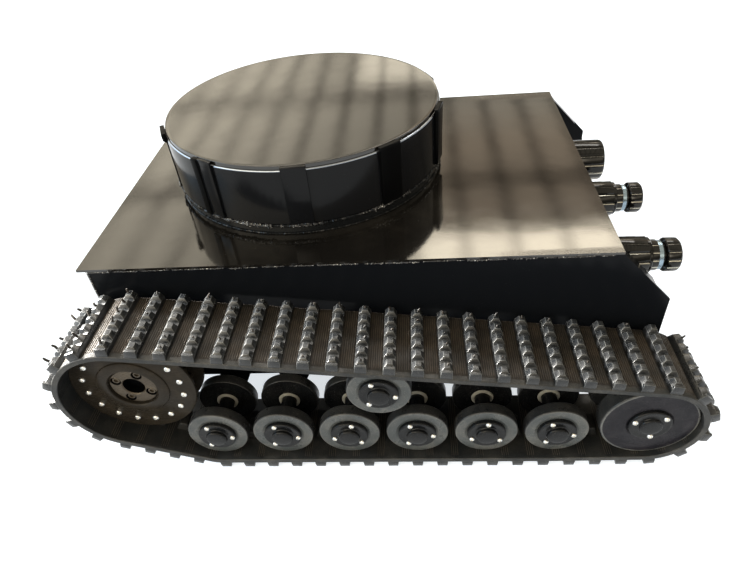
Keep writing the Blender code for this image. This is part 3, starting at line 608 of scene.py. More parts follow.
def belt_band(shape):
    """The flat band: fine ribs across its outer face, four fine lines a pitch across its inner one."""
    samples = belt_samples()
    # columns of a section: D, height off the face, and whether the ribs or the lines cross it
    outer_cols = ((BELT_IN, -0.6, 0), (BELT_IN + 0.6, 0, 0), (229.0, 0, 1), (309.0, 0, 1), (312.0, 0.25, 0),
                  (BELT_OUT - 0.8, 0.25, 0), (BELT_OUT, -0.6, 0))
    inner_cols = ((BELT_OUT, 0.7, 0), (BELT_OUT - 0.7, 0, 0), (313.0, 0, 1), (228.0, 0, 1),
                  (BELT_IN + 0.7, 0, 0), (BELT_IN, 0.7, 0))
    width = len(outer_cols) + len(inner_cols)
    points = []
    for i in range(LUG_COUNT):
        for t, outer, inner in samples:
            point, n = path_at((i + LUG_PHASE) * PITCH + t)
            for columns, face, rise in ((outer_cols, BELT_T, outer), (inner_cols, 0, inner)):
                for d, lift, crossed in columns:
                    spot = point + n * (face + lift + (rise if crossed else 0))
                    points.append((spot.x, -d, spot.y))
    rows = len(points) // width
    numbers = []
    for r in range(rows):
        start, end = samples[r % len(samples)], samples[(r + 1) % len(samples)]
        for c in range(width):
            number = BAND_PARTS[c]
            if c == RIB_STRIP and min(start[1], end[1]) > CREST:
                number = 4
            if c == LINE_STRIP and min(start[2], end[2]) > CREST:
                number = 5
            if c == EDGE_STRIP and abs(start[0] - NICK_AT) < 0.01:
                number = 3
            numbers.append(number)
    shape.add(points, tube(rows, width, closed=True), numbers)


# the six blocks on a lug: D of the top's two ends, and how far the foot reaches beyond them
LUG_BLOCKS = ((225.9, 233.6, 0.2), (241.4, 249.2), (257.4, 265.2), (273.3, 281.1), (289.0, 296.8),
              (305.0, 311.8, 1.3, 3.0))
# D of the vents that stand on them, how near to the ground and how far along X a tip may come, and the X
# in front of which and the height above which most of them are left
VENTS = (230.0, 245.3, 261.3, 277.2, 292.9, 309.0)
VENT_LOW, VENT_REACH, FRONT_X, FRONT_Z = 1.0, 371.0, -255, 60


def lug_half(height):
    """Half width of a lug along the belt, at a height: a steep bar, then a narrowing top."""
    if height <= LUG_BAR:
        return 7.25 - 0.65 * height / LUG_BAR
    return 6.6 - 3.7 * (height - LUG_BAR) / (LUG_H - LUG_BAR)


def section(half, start, end, height, end_half=None):
    """Four corners of a lug at a height, from D start, half wide, to D end."""
    other = half if end_half is None else end_half
    return [(-half, start, height), (half, start, height), (other, end, height), (-other, end, height)]


def lug_block(d0, d1, back=1.3, near=2.3):
    """One tapered block on a lug's bar, its top from D d0 to d1."""
    a, b = lug_half(LUG_BAR), lug_half(LUG_H)
    foot = (d0 - back, d1 + near)
    points = section(a, *foot, LUG_BAR - 1.6) + section(a, *foot, LUG_BAR) + section(b, d0, d1, LUG_H)
    faces = [[0, 1, 2, 3], [11, 10, 9, 8]]
    for k in (0, 4):
        faces += [[k + i, k + 4 + i, k + 4 + (i + 1) % 4, k + (i + 1) % 4] for i in range(4)]
    return points, faces


def lug_parts():
    """A lug: a steep-sided bar right across the belt, a block at its outer end, and six tapered blocks
    along its top."""
    inner_half, top_half, end_half = lug_half(0) + 0.1, lug_half(LUG_BAR), 6.5
    bar = frustum(section(inner_half, 224.6, 317.8, -1.2, end_half),
                  section(top_half, 225.4, 316.4, LUG_BAR, end_half))
    end = frustum(section(end_half, 311.5, 317.7, 2.0), section(end_half - 0.7, 313.8, 316.9, 9.8))
    # the rounded edges take number 6, the lighter edge rubber: partly wear, partly a painted highlight
    parts = [bevelled(*solid, 0.4, 2, 0, 6) for solid in (bar, end)]
    return parts + [bevelled(*lug_block(*block), 0.38, 2, 0, 6) for block in LUG_BLOCKS]


def whisker(rng, a, d, height, tall, thick):
    """A thin mould vent standing on a block, with a bent tip when it is long."""
    lean_a, lean_d = rng.uniform(-0.30, 0.30), rng.uniform(-0.40, 0.30)
    bend_a, bend_d = rng.uniform(-0.35, 0.35), rng.uniform(-0.4, 0.3)
    steps = ((-0.5, thick), (tall * 0.45, thick * 0.92), (tall * 0.8, thick * 0.88), (tall, thick * 0.6))
    points = []
    spot = [a, d]
    last = -0.5
    for k, (rise, r) in enumerate(steps):
        bend = 1.0 if k > 1 else 0.0
        spot[0] += (lean_a + bend * bend_a) * (rise - last)
        spot[1] += (lean_d + bend * bend_d) * (rise - last)
        last = rise
        points += [(*p, height + rise) for p in circle(*spot, r, 6)]
    return points, tube(len(steps), 6)


def belt_piece():
    """The left belt: band, lugs with vents on their blocks, and one guide horn inside each lug."""
    shape = Shape()
    belt_band(shape)
    rng = random.Random(7)
    lug = lug_parts()
    horn = frustum(section(7.5, 262.5, 286.5, -6.0), section(4.5, 263.6, 285.4, -18.2))
    horn = bevelled(*horn, 1.2, 3)
    for i in range(LUG_COUNT):
        distance = (i + LUG_PHASE) * PITCH
        place = on_belt(distance)
        for points, faces, numbers in lug:
            shape.add(points, faces, numbers, place)
        shape.add(*horn[:2], 3, place)
        point, n = path_at(distance)
        front = point.x < FRONT_X and point.y > FRONT_Z
        for k, d in enumerate(VENTS):
            chance = 0.9 if front else (0.7 if k == 0 else 0.25)
            if rng.random() > chance:
                continue
            tall = rng.uniform(4.0, 7.5) if front else rng.uniform(1.4, 5.0 if k == 0 else 3.0)
            tip = point + n * (BELT_T + LUG_H + tall + 1.0)
            if tip.y < VENT_LOW or abs(tip.x) > VENT_REACH:
                continue
            along, across = rng.uniform(-1.5, 1.5), d + rng.uniform(-1, 1)
            shape.add(*whisker(rng, along, across, LUG_H, tall, 1.5 if front else 1.15), 1, place)
    return shape


def make_belts():
    parts = [LUG, BAND, EDGE, INSIDE, RIB, LINE, LUG_EDGE]
    emit(belt_piece(), "track_belt_{s}_rubber", parts, "hull", "belt_rubber", ["track_belt_{s}"], angle=30,
         weld=False)


# ---- wheels
# width of an outer and of an inner wheel's tyre
TYRE_W, INNER_TYRE_W = 14.4, 13.6


def wheel_disc(shape, place):
    """Tyre with a rounded shoulder in a lighter material, and the raised flange and cap of its hub."""
    face = [(22.0, -1.0), (23.2, -0.9), (24.4, -0.2), (26.0, 0.0), (WHEEL_R - 4.4, -0.15),
            (WHEEL_R - 3.0, 0.0), (WHEEL_R - 2.0, 0.0)]
    lathe(shape, face, 72, place, 0)
    shoulder = arc((WHEEL_R - 1.8, -1.8), 1.8, 88, 2, 6)
    lathe(shape, [face[-1]] + shoulder[:3], 72, place, 3)
    tread = shoulder[2:] + [(WHEEL_R, -TYRE_W / 2), (WHEEL_R, 1.6 - TYRE_W), (WHEEL_R - 1.4, -TYRE_W),
                            (6.5, -TYRE_W), (6.5, -1.0), (22.0, -1.0)]
    lathe(shape, tread, 72, place, 1)
    side = [(22.2, -1.2), (22.2, 2.4)] + arc((20.6, 2.4), 1.6, 15, 88, 4)
    top = [(19.6, 3.9), (14.6, 3.5), (13.6, 3.6), (12.9, 3.9)]
    lathe(shape, side + top, 60, place, 2)
    cap = [(12.9, 3.9), (12.5, 4.3), (12.5, 6.4)] + arc((10.4, 6.4), 2.1, 10, 80, 4)
    lathe(shape, cap + [(8.4, 8.75), (4.0, 8.95), (0, 9.0)], 48, place, 2)


def shifted(place, dx, dz, dh):
    return lambda p: place((p[0] + dx, p[1] + dz, p[2] + dh))


def emit_screws(name, body, place, radius, turn, head, height):
    """Three screw heads round a hub, the first one turn degrees round from +X."""
    screws = Shape()
    for k in range(3):
        spot = around(0, 0, radius, math.radians(turn) + math.tau * k / 3)
        pan_head(screws, shifted(place, *spot, height), head, 2.0)
    emit(screws, name, [SCREW], body, "bare_steel")


# angles of each road wheel's first hub screw, from +X towards +Z
WHEEL_TURNS = (116, 112, 77, 115, 86, 112)
WHEEL_PARTS = [FACE, TYRE, HUB_PLASTIC, PALE_SHOULDER]


def make_road_wheels():
    for i in range(6):
        x = WHEEL_X + WHEEL_STEP * i
        tail = "_{s}_%d" % (i + 1)
        body = "wheels" + tail
        place = outward(x, WHEEL_Z, OUTER_FACE)
        disc = Shape()
        wheel_disc(disc, place)
        emit(disc, "road_wheel" + tail, WHEEL_PARTS, body, "wheel_polymer", ["outer_wheel" + tail])
        emit_screws("hub_screws" + tail, body, place, 18.6, WHEEL_TURNS[i], 3.3, 3.8)
        inner = Shape()
        inner_wheel(inner, outward(x, WHEEL_Z, INNER_FACE))
        emit(inner, "back_wheel" + tail, [FACE, TYRE, HUB_PLASTIC, BEARING], body, "wheel_polymer",
             ["inner_wheel" + tail])


def inner_wheel(shape, place, length=35.6, bearing=3):
    """The wheel nearer the hull, its pale bearing ring and the sleeve that joins the pair."""
    shoulder = arc((WHEEL_R - 1.6, -1.6), 1.6, 88, 2, 6)
    lathe(shape, [(13.2, -0.2), (30.0, -0.2), (WHEEL_R - 3.0, -0.05)] + shoulder[:3], 64, place, 2)
    tread = shoulder[2:] + [(WHEEL_R, -7), (WHEEL_R, 1.6 - INNER_TYRE_W), (WHEEL_R - 1.6, -INNER_TYRE_W),
                            (9.0, -INNER_TYRE_W), (9.0, -12.0), (6.5, -12.0), (6.5, 0)]
    lathe(shape, tread, 64, place, 1)
    ring = [(13.4, -0.3), (13.2, 1.0), (12.6, 1.4), (9.9, 1.4), (9.6, 1.0), (9.5, 0.0)]
    lathe(shape, ring, 48, place, bearing)
    lathe(shape, [(9.5, 0.4), (9.4, length), (6.4, length), (6.4, -0.2)], 40, place, 2)


def make_return_rollers():
    place = outward(*ROLLER, OUTER_FACE)
    disc = Shape()
    wheel_disc(disc, place)
    inner_wheel(disc, outward(*ROLLER, INNER_FACE), bearing=4)
    emit(disc, "roller_wheel_{s}", WHEEL_PARTS + [BEARING], "roller_{s}", "wheel_polymer",
         ["return_roller_{s}"])
    emit_screws("roller_screws_{s}", "roller_{s}", place, 18.6, 112, 3.3, 3.8)


def make_idlers():
    place = outward(*IDLER, SPOOL_FACE)
    spool = Shape()
    shoulder = arc((IDLER_R - 2.0, -2.0), 2.0, 88, 2, 6)
    face = [(23.4, -1.0), (24.4, -0.8), (25.4, 0.0), (27.0, -0.1), (38.0, -0.25), (49.0, -0.2),
            (50.5, -0.05)]
    lathe(spool, face, 96, place, 0)
    lathe(spool, [face[-1]] + shoulder[:3], 96, place, 3)
    tread = shoulder[2:] + [(IDLER_R, -10), (IDLER_R, -19.0), (52.3, -20.0), (30.0, -20.0), (30.0, -55.0),
                            (52.3, -55.0), (IDLER_R, -56.0), (IDLER_R, -72.0), (52.0, -73.0), (8.4, -73.0),
                            (8.4, -4.0)]
    lathe(spool, tread, 96, place, 1)
    hub = [(23.6, -1.2), (23.6, 1.8)] + arc((21.9, 1.8), 1.7, 12, 86, 4)
    hub += [(20.0, 3.3), (15.0, 2.9), (13.2, 3.2), (12.8, 3.6), (12.8, 4.4)]
    hub += arc((10.6, 4.4), 2.1, 8, 80, 4) + [(8.0, 6.6), (4.0, 6.75), (0, 6.8)]
    lathe(spool, hub, 72, place, 2)
    lathe(spool, [(8.4, -4.0), (0, -4.0)], 48, place, 2)
    emit(spool, "idler_disc_{s}", [IDLER_FACE, TYRE, HUB_PLASTIC, PALE_SHOULDER], "idler_{s}", "wheel_polymer",
         ["idler_wheel_{s}"])
    emit_screws("idler_screws_{s}", "idler_{s}", place, 18.9, 40, 3.5, 3.2)


# the sprocket's pins: how many, the first one's angle and their circle's radius; the hub's sockets: the
# first one's angle, their circle's radius and each one's own
PIN_COUNT, PIN_FIRST, PIN_CIRCLE = 16, 143.35, 58.3
SOCKET_FIRST, SOCKET_CIRCLE, SOCKET_R = -27, 20.6, 6.3


def make_sprockets():
    place = outward(*SPROCKET, DISC_FACE)
    discs = Shape()
    rim = arc((SPROCKET_R - 0.8, -0.8), 0.8, 90, 0, 4)
    outer = [(28.8, 1.6), (29.8, 2.6), (40.6, 2.6), (41.9, 1.8), (42.4, 0.3), (43.2, 0.0)] + rim
    outer += [(SPROCKET_R, -3.3), (72.2, -4.0), (28.8, -4.0)]
    lathe(discs, outer, 112, place, closed=True)
    inner = [(18.4, -30.6), (72.1, -30.6), (SPROCKET_R, -31.4), (SPROCKET_R, -33.8), (72.1, -34.6),
             (18.4, -34.6)]
    lathe(discs, inner, 112, place, closed=True)
    heads = Shape()
    for k in range(PIN_COUNT):
        a = math.radians(PIN_FIRST) + math.tau * k / PIN_COUNT
        spot = shifted(place, *around(0, 0, PIN_CIRCLE, a), 0.0)
        lathe(discs, [(2.5, -3.9), (2.5, -30.7)], 16, spot)
        pan_head(heads, spot, 3.9, 1.8)
    emit(discs, "sprocket_discs_{s}", [DISC], "sprocket_{s}", "black_steel", ["drive_sprocket_{s}"])
    emit(heads, "sprocket_pin_heads_{s}", [SCREW], "sprocket_{s}", "bare_steel")
    make_drive_hubs(place)


def pierced_ring(shape, place, inside, outside, holes, height):
    """A flat ring with round holes, each hole a (x, y, radius)."""
    loops = [circle(0, 0, outside, 72), circle(0, 0, inside, 72)] + [circle(*hole, 28) for hole in holes]
    points, edges = [], []
    for loop in loops:
        first = len(points)
        points += [Vector(p) for p in loop]
        edges += [(first + i, first + (i + 1) % len(loop)) for i in range(len(loop))]
    found = delaunay_2d_cdt(points, edges, [], 0, 1e-6)
    faces = []
    for face in found[2]:
        middle = sum((found[0][i] for i in face), Vector((0, 0))) / len(face)
        in_hole = any(math.hypot(middle.x - x, middle.y - y) < radius for x, y, radius in holes)
        if inside < middle.length < outside and not in_hole:
            faces.append(list(face))
    shape.add([(p.x, p.y, height) for p in found[0]], faces, 0, place)


def make_drive_hubs(place):
    """Hub flange with four sunk socket screws round a deep bore, and the shaft behind."""
    hub = Shape()
    # the bore takes number 2, the darker copy of the paint: painted shade down the hole
    lathe(hub, [(0, -12.0), (12.6, -12.0), (12.8, -2.0)], 72, place, 2)
    lathe(hub, [(12.8, -2.0), (13.9, -1.0)], 72, place)
    rim = [(26.6, -1.0), (27.4, -1.7), (27.4, -4.4), (39.4, -4.4), (40.0, -5.0), (40.0, -9.3), (18.0, -9.3),
           (18.0, -42.6), (10.0, -42.6), (10.0, -93.3), (0, -93.3)]
    lathe(hub, rim, 72, place)
    screws = Shape()
    holes = []
    for k in range(4):
        x, y = around(0, 0, SOCKET_CIRCLE, math.radians(SOCKET_FIRST + 90 * k))
        holes.append((x, y, SOCKET_R))
        spot = shifted(place, x, y, -1.0)
        # each socket pocket takes the darker copy of the paint too: painted shade in the recess
        lathe(hub, [(SOCKET_R, 0.0), (6.1, -0.3), (6.1, -4.0), (0, -4.0)], 28, spot, 2)
        head = [(4.5, -4.0), (4.5, -1.5), (4.1, -1.1), (2.6, -1.1), (2.4, -2.8), (0, -3.0)]
        lathe(screws, head, 24, spot)
    pierced_ring(hub, place, 13.9, 26.6, holes, -1.0)
    emit(hub, "hub_flange_{s}", [HUB_STEEL, DISC, PAINTED_SHADE], "sprocket_{s}", "black_steel", ["drive_hub_{s}"])
    emit(screws, "hub_socket_screws_{s}", [HUB_STEEL], "sprocket_{s}", "black_steel")


# ---- hull
def repaint(name, material, bevel=0.0):
    """Gives a piece that keeps the frame's own shape a material, and small rounded edges."""
    node = NODES[name]
    for i in range(max(1, len(node.material_slots))):
        if i < len(node.data.materials):
            node.data.materials[i] = material
        else:
            node.data.materials.append(material)
    if bevel:
        modifier = node.modifiers.new("edges", "BEVEL")
        modifier.width = bevel
        modifier.segments = 2
        modifier.limit_method = "ANGLE"
        modifier.angle_limit = math.radians(40)


# the broken weld along the deck's side: where it starts and ends, the last X a piece of it may start
# at, and its line
SEAM_START, SEAM_END, SEAM_LAST, SEAM_Y, SEAM_Z = -326.0, 266, 262, 213.8, 235.9


def make_hull():
    for name in ("front_plate", "rear_panel", "bottom_plate"):
        repaint(name, HULL, 0.0004)
    repaint("top_plate", DECK, 0.0005)
    for label, _ in SIDES:
        repaint(f"side_plate_{label}", SIDE, 0.0004)
        repaint(f"gear_motor_{label}", MOTOR, 0.0008)
        # the tensioner behind the idler takes the darker copy of the paint: painted shade
        repaint(f"idler_tensioner_{label}", PAINTED_SHADE, 0.0004)
    repaint("battery_pack", BATTERY)
    repaint("motor_controller", CASE)
    for k in (1, 2, 3):
        repaint(f"connector_socket_{k}", SHELL, 0.0003)
    seams = Shape()
    rng = random.Random(11)
    x = SEAM_START
    while x < SEAM_LAST:
        length = rng.uniform(9, 46)
        end = min(x + length, SEAM_END)
        z = SEAM_Z + rng.uniform(-0.3, 0.3)
        seam = straight((x, -SEAM_Y, z), (end, -SEAM_Y, z))
        bead(seams, seam, rng.uniform(0.6, 1.15), seed=int(x) + 900, rough=0.6)
        x = end + rng.uniform(1.5, 9)
    bead(seams, straight((-327.6, -213.4, 70.0), (-327.6, -213.4, 234.0)), 1.0, seed=12)
    emit(seams, "side_weld_{s}", [WELD], "hull", "hull_paint")
    ends = Shape()
    for x, half, radius, seed in ((-337.6, 198, 1.0, 13), (267.2, 206, 1.2, 14)):
        bead(ends, straight((x, -half, 236.4), (x, half, 236.4)), radius, seed=seed)
    show(ends.build("end_welds", [WELD]), "hull", "hull_paint")


# the drum's clips: how many, the first one's angle, the step between them, and half their width
CLIP_COUNT, CLIP_FIRST, CLIP_STEP, CLIP_HALF = 10, -85.5, 36.0, 14.2
# thick parts of the weld round the drum's foot, in the weld material with its painted glints: start and end
# angle, radius
DRIPS = ((236, 263, 2.5), (266, 284, 2.1), (302, 311, 2.3), (316, 321, 1.9), (20, 120, 2.2))


def make_turret():
    x, y = TURRET
    place = upward(x, y)
    segments = 220
    neck = Shape()
    ring = [(174.0, 254.8), (178.0, 254.8), (178.0, 240.9), (174.0, 240.9)]
    lathe(neck, ring, segments, place, closed=True)
    show(neck.build("neck_ring", [HULL]), "hull", "hull_paint", "turret_neck")
    drum = Shape()
    rim = arc((178.5, 324.0), 1.5, 90, 0, 7)
    lathe(drum, rim, segments, place, 3)
    wall = [rim[-1], (180.0, 256.0), (179.2, 255.1), (150.0, 255.1), (150.0, 258.1), (177.0, 258.1),
            (177.0, 323.6), (178.5, 323.6), rim[0]]
    lathe(drum, wall, segments, place)
    for k in range(CLIP_COUNT):
        clip(drum, CLIP_FIRST + CLIP_STEP * k, x, y)
    show(drum.build("drum_shell", [DRUM, HULL, PAINTED_SHADE, RIM_EDGE]), "hull", "hull_paint", "turret_drum")
    lid = Shape()
    edge = arc((177.2, 329.6), 0.8, 90, 0, 5)
    profile = [(0, 330.36), (60, 330.37), (120, 330.39), (174.0, 330.4)] + edge
    profile += [(178.0, 323.9), (173.5, 323.9), (173.5, 326.9), (0, 326.9)]
    lathe(lid, profile, segments, place)
    show(lid.build("lid_cover", [LID]), "lid", "deck_paint", "turret_lid")
    welds = Shape()
    bead(welds, ring_path(x, y, 241.6, 178.4), 1.2, 1, seed=21, closed=True, rough=0.4)
    bead(welds, ring_path(x, y, 253.0, 178.6), 2.0, 1, seed=22, closed=True, rough=0.65)
    for start, end, radius in DRIPS:
        bead(welds, ring_path(x, y, 252.8, 178.9, start, end), radius, seed=start, rough=0.8)
    for k in range(CLIP_COUNT):
        a = CLIP_FIRST + CLIP_STEP * k
        foot = ring_path(x, y, 255.9, 181.2, a - 4.4, a + 4.4)
        # every third clip foot takes the plain paint, the others the weld material with its painted glints
        bead(welds, foot, 1.3, 0 if k % 3 else 1, seed=50 + k, rough=0.7)
    show(welds.build("turret_welds", [WELD, HULL]), "hull", "hull_paint")


# a clip's section from foot to tip: inner radius, outer radius, height
CLIP_FAR = ((179.3, 183.1, 256.2), (179.3, 183.1, 290.0), (179.3, 183.1, 320.0), (179.3, 182.9, 326.3))
CLIP_HOOKED = ((179.3, 180.6, 256.2), (179.3, 180.7, 290.0), (179.3, 180.8, 318.0), (179.4, 184.4, 321.0),
               (178.9, 184.6, 329.4), (178.9, 184.0, 330.1))
CLIP_NEAR = ((179.3, 182.2, 256.2), (179.5, 182.4, 290.0), (179.8, 182.9, 322.0), (180.0, 183.2, 328.0),
             (178.9, 183.0, 329.5), (178.9, 182.2, 330.1))
CLIP_PROUD = ((179.3, 183.6, 256.2), (179.5, 183.8, 290.0), (180.0, 184.6, 322.0), (180.0, 184.9, 328.0),
              (178.9, 184.6, 329.6), (178.9, 183.4, 330.2))


def clip(shape, degrees, x, y):
    """One flat clip outside the drum. Those on the left side hook inward over the wall's edge, some of
    them proud of it; the ones on the right side stop just below it."""
    out = Vector((*around(0, 0, 1, math.radians(degrees)), 0))
    along = Vector((-out.y, out.x, 0))
    turn = degrees % 360

    def corner(r, w, z):
        return Vector((x, y, 0)) + out * r + along * w + Vector((0, 0, z))

    def strip(start, end, rows, number):
        points = [corner(r, w, z) for r0, r1, z in rows
                  for r, w in ((r0, start), (r0, end), (r1, end), (r1, start))]
        shape.add(*bevelled(points, tube(len(rows), 4), 0.4, 2, number))

    # number 2 is the darker copy of the paint: painted shade on the clips at 202.5, 310.5 and 346.5 degrees
    # and on a strip down the left edge of the one at 238.5, standing in for the dark reflections these clips
    # show
    if turn < 180:
        strip(-CLIP_HALF, CLIP_HALF, CLIP_FAR, 1)
    elif turn < 210:
        strip(-CLIP_HALF, CLIP_HALF, CLIP_HOOKED, 2)
    elif turn < 250:
        strip(-CLIP_HALF, -CLIP_HALF + 8.5, CLIP_PROUD, 2)
        strip(-CLIP_HALF + 8.0, CLIP_HALF, CLIP_NEAR, 0)
    elif turn < 290:
        strip(-CLIP_HALF, CLIP_HALF, CLIP_NEAR, 0)
    else:
        strip(-CLIP_HALF, CLIP_HALF, CLIP_PROUD, 2)


# ---- connectors
def fluted(count, depth, width=0.22):
    """Radius change that cuts count narrow grooves round a turned shape."""

    def wave(radius, height, angle):
        share = (angle * count / math.tau) % 1.0
        dip = max(0.0, 1 - abs(share - 0.5) / (width / 2))
        return radius - depth * min(1.0, dip * 1.8)

    return wave


def knob(shape, place, segments, flutes, start, middle, end):
    """A knob turned from three profiles. flutes is how many grooves run down the middle one, and how
    deep they are."""
    lathe(shape, start, segments, place)
    # the middle profile's rising groove flanks take number 1, the pale metal: painted highlight lines
    lathe(shape, middle, segments, place, wave=fluted(*flutes), step_number=1)
    lathe(shape, end, segments, place)


def show_knob(shape, name, body, node):
    show(shape.build(name, [SHELL, HIGHLIGHT_EDGE], weld=False), body, "connector_shell", node)


def make_connectors():
    for number, (y, shift) in enumerate(CONNECTORS, start=1):
        place = rearward(y, CONNECTOR_Z)
        end = NUT_END + shift
        which = "front" if number == 1 else "middle"
        nut = Shape()
        knob(nut, place, 168, (12, 1.1), [(15.9, 4.1), (21.4, 4.1), (21.8, 4.6)],
             [(21.8, 4.6), (22.2, 5.2), (22.2, end - 4.4), (21.8, end - 3.8)],
             [(21.8, end - 3.8), (20.9, end - 3.3), (20.9, end - 0.9), (20.2, end), (15.9, end),
              (15.9, 4.1)])
        show_knob(nut, f"coupling_nut_{which}", f"coupling_nut_{which}", f"coupling_nut_{number}")
        plug = Shape()
        core = [(0, 4.9), (10.7, 4.9), (10.7, 21.9), (15.5, 21.9), (15.5, end + 0.3), (18.0, end + 0.3)]
        lathe(plug, core, 72, place)
        collar = [(18.0, end + 0.3), (18.0, end + 7.2), (17.6, end + 8.0), (17.0, end + 8.3)]
        # the collar's rising groove flanks take number 2, the pale metal: painted highlight lines
        lathe(plug, collar, 96, place, wave=fluted(12, 0.5), step_number=2)
        ring = [(17.0, end + 8.3), (17.0, end + 12.6), (16.6, end + 13.1), (15.0, end + 13.3)]
        lathe(plug, ring, 96, place, 1)
        neck = [(15.0, end + 13.3), (14.2, end + 14.0), (14.2, end + 16.0), (12.0, end + 16.4),
                (12.0, end + 29.5), (0, end + 29.5)]
        lathe(plug, neck, 72, place)
        show(plug.build(f"cable_plug_{number}", [SHELL, RING, HIGHLIGHT_EDGE]), "hull", "connector_shell",
             f"connector_plug_{number}")
        cap = Shape()
        foot = end + 16.9
        knob(cap, place, 120, (12, 1.0), [(12.3, foot), (18.6, foot), (19.2, foot + 0.6)],
             [(19.2, foot + 0.6), (19.5, foot + 1.2), (19.5, foot + 12.6), (18.9, foot + 13.9),
              (17.6, foot + 15.3)],
             [(17.6, foot + 15.3), (16.2, foot + 16.1), (11.4, foot + 16.1), (10.6, foot + 15.3),
              (0, foot + 15.1)])
        lathe(cap, [(12.3, foot), (12.3, foot + 12.9), (0, foot + 12.9)], 60, place)
        show_knob(cap, f"end_nut_{which}", f"end_nut_{which}", f"end_nut_{number}")
    cover = Shape()
    place = rearward(CAP_Y, CONNECTOR_Z)
    knob(cover, place, 192, (14, 1.1), [(15.9, 4.1), (27.4, 4.1), (28.0, 4.8)],
         [(28.0, 4.8), (28.4, 5.6), (28.4, 43.4), (27.6, 46.2), (26.0, 47.6)],
         [(26.0, 47.6), (24.0, 48.0), (18.4, 48.0), (17.4, 47.1), (0, 46.9)])
    lathe(cover, [(15.9, 4.1), (15.9, 28.9), (0, 28.9)], 60, place)
    show_knob(cover, "screw_cap_cover", "screw_cap", "connector_screw_cap")


# ---- room, light and camera
FLOOR_HALF = 30


def make_floor():
    mesh = bpy.data.meshes.new("studio_floor")
    corners = [(-1, -1), (1, -1), (1, 1), (-1, 1)]
    mesh.from_pydata([(x * FLOOR_HALF, y * FLOOR_HALF, 0) for x, y in corners], [], [(0, 1, 2, 3)])
    floor = bpy.data.objects.new("studio_floor", mesh)
    SCENE.collection.objects.link(floor)
    paint = Paint("floor_paint", (0.46, 0.50, 0.58), 0.85)
    paint.shader.inputs["Emission Color"].default_value = (0.93, 0.97, 1.0, 1)
    paint.shader.inputs["Emission Strength"].default_value = 0.72
    mesh.materials.append(paint.material)


# the ceiling is laid out in u = x/z and v = y/z: one dark bar each way and the step to the next
SKY_BAR_U, SKY_STEP_U, SKY_BAR_V, SKY_STEP_V = 0.41, 0.1425, 1.70, 0.75
# each bright panel: middle, half size, glow, and where its edge starts and ends to fade, as shares of
# its half size
SKY_PANELS = ((0.30, 1.29, 0.32, 0.10, 10.5, 0.75, 1.55), (0.04, 2.92, 0.33, 0.34, 3.6, 0.76, 1.28))
SKY_LIGHT, WINDOW_LIGHT = 1.95, 4.6


def make_sky():
    """Soft surround: a warm ceiling crossed by dark soft bars and dimmer towards the horizon, bright
    panels in it, a shelf of light low down on the left and a cool window in front."""
    world = bpy.data.worlds.new("studio")
    SCENE.world = world
    world.use_nodes = True
    sky = Wiring(world.node_tree)
    calc, times, smooth = sky.math, sky.times, sky.ramp
    back = sky.tree.nodes["Background"]

    def stripes(value, first, step, narrow, wide, depth):
        phase = calc("FRACT", calc("ADD", calc("DIVIDE", calc("SUBTRACT", value, first), step), 0.5))
        away = times(calc("ABSOLUTE", calc("SUBTRACT", phase, 0.5)), step)
        return smooth(away, narrow, wide, depth, 1.0)

    x, y, z = sky.split(sky.node("ShaderNodeTexCoord").outputs["Generated"])
    over = calc("MAXIMUM", z, 0.03)
    u, v = calc("DIVIDE", x, over), calc("DIVIDE", y, over)
    level = times(smooth(u, -1.0, 0.05, 1.36, 0.64), SKY_LIGHT)
    light = times(stripes(u, SKY_BAR_U, SKY_STEP_U, 0.004, 0.040, 0.46), level)
    light = times(light, stripes(v, SKY_BAR_V, SKY_STEP_V, 0.02, 0.08, 0.36))
    ribs = stripes(u, SKY_BAR_U, SKY_STEP_U, 0.004, 0.030, 0.60)
    for at_u, at_v, half_u, half_v, glow, inside, outside in SKY_PANELS:
        off_u = calc("DIVIDE", calc("ABSOLUTE", calc("SUBTRACT", u, at_u)), half_u)
        off_v = calc("DIVIDE", calc("ABSOLUTE", calc("SUBTRACT", v, at_v)), half_v)
        panel = times(smooth(calc("MAXIMUM", off_u, off_v), inside, outside, glow, 0.0), ribs)
        light = calc("MAXIMUM", light, panel)
    light = times(light, smooth(z, 0.05, 0.42, 0.22, 1.0))
    shelf = times(smooth(z, 0.30, 0.38, 0.0, 1.0), smooth(z, 0.52, 0.62, 1.0, 0.0))
    shelf = times(shelf, smooth(y, -0.35, -0.15, 1.0, 0.0))
    shelf = times(shelf, smooth(x, -0.30, 0.30, 9.0, 2.2))
    light = calc("MAXIMUM", light, shelf)
    window = times(smooth(x, -0.72, -0.86, 0.0, 1.0), smooth(z, 0.03, 0.10, 0.0, 1.0))
    window = times(window, smooth(z, 0.40, 0.52, 1.0, 0.0))
    light = calc("MAXIMUM", light, times(window, WINDOW_LIGHT))
    warm = times(smooth(u, -0.1, 0.12, 0.0, 1.0), smooth(v, 1.9, 2.4, 1.0, 0.0))
    warm = times(warm, smooth(v, 1.38, 1.52, 0.15, 1.0))
    tint = sky.mix(warm, (1.0, 0.90, 0.71), (1.0, 0.80, 0.58))
    sky.link(sky.mix(window, tint, (0.62, 0.82, 1.0)), back.inputs["Color"])
    sky.link(light, back.inputs["Strength"])
    plain = sky.node("ShaderNodeBackground")
    plain.inputs["Color"].default_value = (1.0, 1.0, 1.0, 1)
    blend = sky.node("ShaderNodeMixShader")
    sky.link(sky.node("ShaderNodeLightPath").outputs["Is Camera Ray"], blend.inputs[0])
    sky.link(back.outputs[0], blend.inputs[1])
    sky.link(plain.outputs[0], blend.inputs[2])
    sky.link(blend.outputs[0], sky.tree.nodes["World Output"].inputs["Surface"])


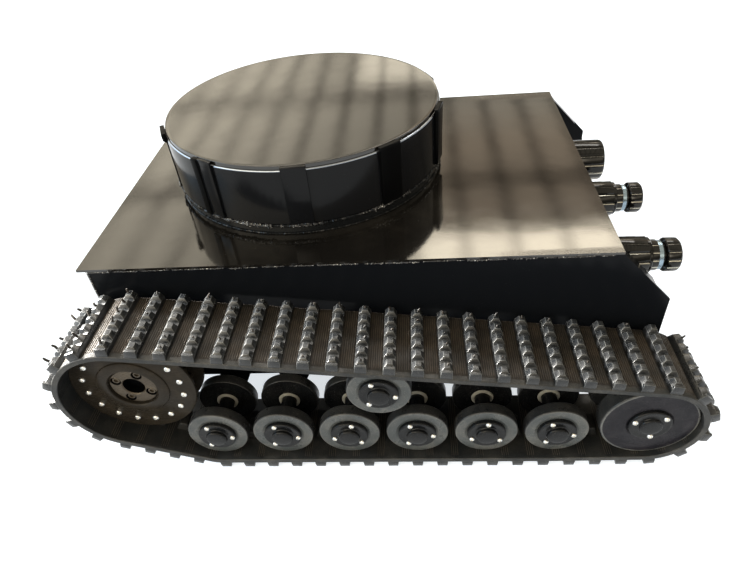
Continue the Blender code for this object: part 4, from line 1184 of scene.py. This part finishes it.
def area(name, location, target, size, energy, color):
    light = bpy.data.lights.new(name, "AREA")
    light.shape = "RECTANGLE"
    light.size, light.size_y = size
    light.energy = energy
    light.color = color
    obj = bpy.data.objects.new(name, light)
    obj.location = location
    aim = Vector(target) - Vector(location)
    obj.rotation_euler = aim.to_track_quat("-Z", "Y").to_euler()
    SCENE.collection.objects.link(obj)
    return obj


def make_lights():
    """A low light in front that only the belts take, and a long one high up on the right."""
    left = area("left_light", (-0.88, -0.16, 0.52), (-0.22, -0.25, 0.15), (0.4, 0.4), 115, (1.0, 0.96, 0.90))
    belts = bpy.data.collections.new("lit_belts")
    for label, _ in SIDES:
        belts.objects.link(bpy.data.objects[f"track_belt_{label}_rubber"])
    left.light_linking.receiver_collection = belts
    area("back_light", (0.1, 0.9, 1.5), (0, -0.1, 0.2), (1.8, 0.25), 14, (1.0, 0.96, 0.9))


# where the camera stands, its turns in degrees and its lens in millimetres
CAMERA_AT, PITCH_YAW_ROLL, LENS = (0.05584, -0.71276, 0.62907), (39.827, 6.13, -5.683), 27.81


def make_camera():
    data = bpy.data.cameras.new("camera")
    data.lens = LENS
    data.sensor_width = 36.0
    obj = bpy.data.objects.new("camera", data)
    pitch, yaw, roll = (math.radians(a) for a in PITCH_YAW_ROLL)
    ahead = Vector((-math.sin(yaw), math.cos(yaw), 0))
    right = Vector((math.cos(yaw), math.sin(yaw), 0))
    look = ahead * math.cos(pitch) - Vector((0, 0, math.sin(pitch)))
    up = right.cross(look)
    side = right * math.cos(roll) + up * math.sin(roll)
    top = up * math.cos(roll) - right * math.sin(roll)
    matrix = Matrix((side, top, -look)).transposed().to_4x4()
    matrix.translation = Vector(CAMERA_AT)
    obj.matrix_world = matrix
    SCENE.collection.objects.link(obj)
    SCENE.camera = obj


make_belts()
make_road_wheels()
make_return_rollers()
make_idlers()
make_sprockets()
make_hull()
make_turret()
make_connectors()
make_floor()
make_sky()
make_lights()
make_camera()
SCENE.view_settings.view_transform = "Standard"
SCENE.view_settings.look = "None"
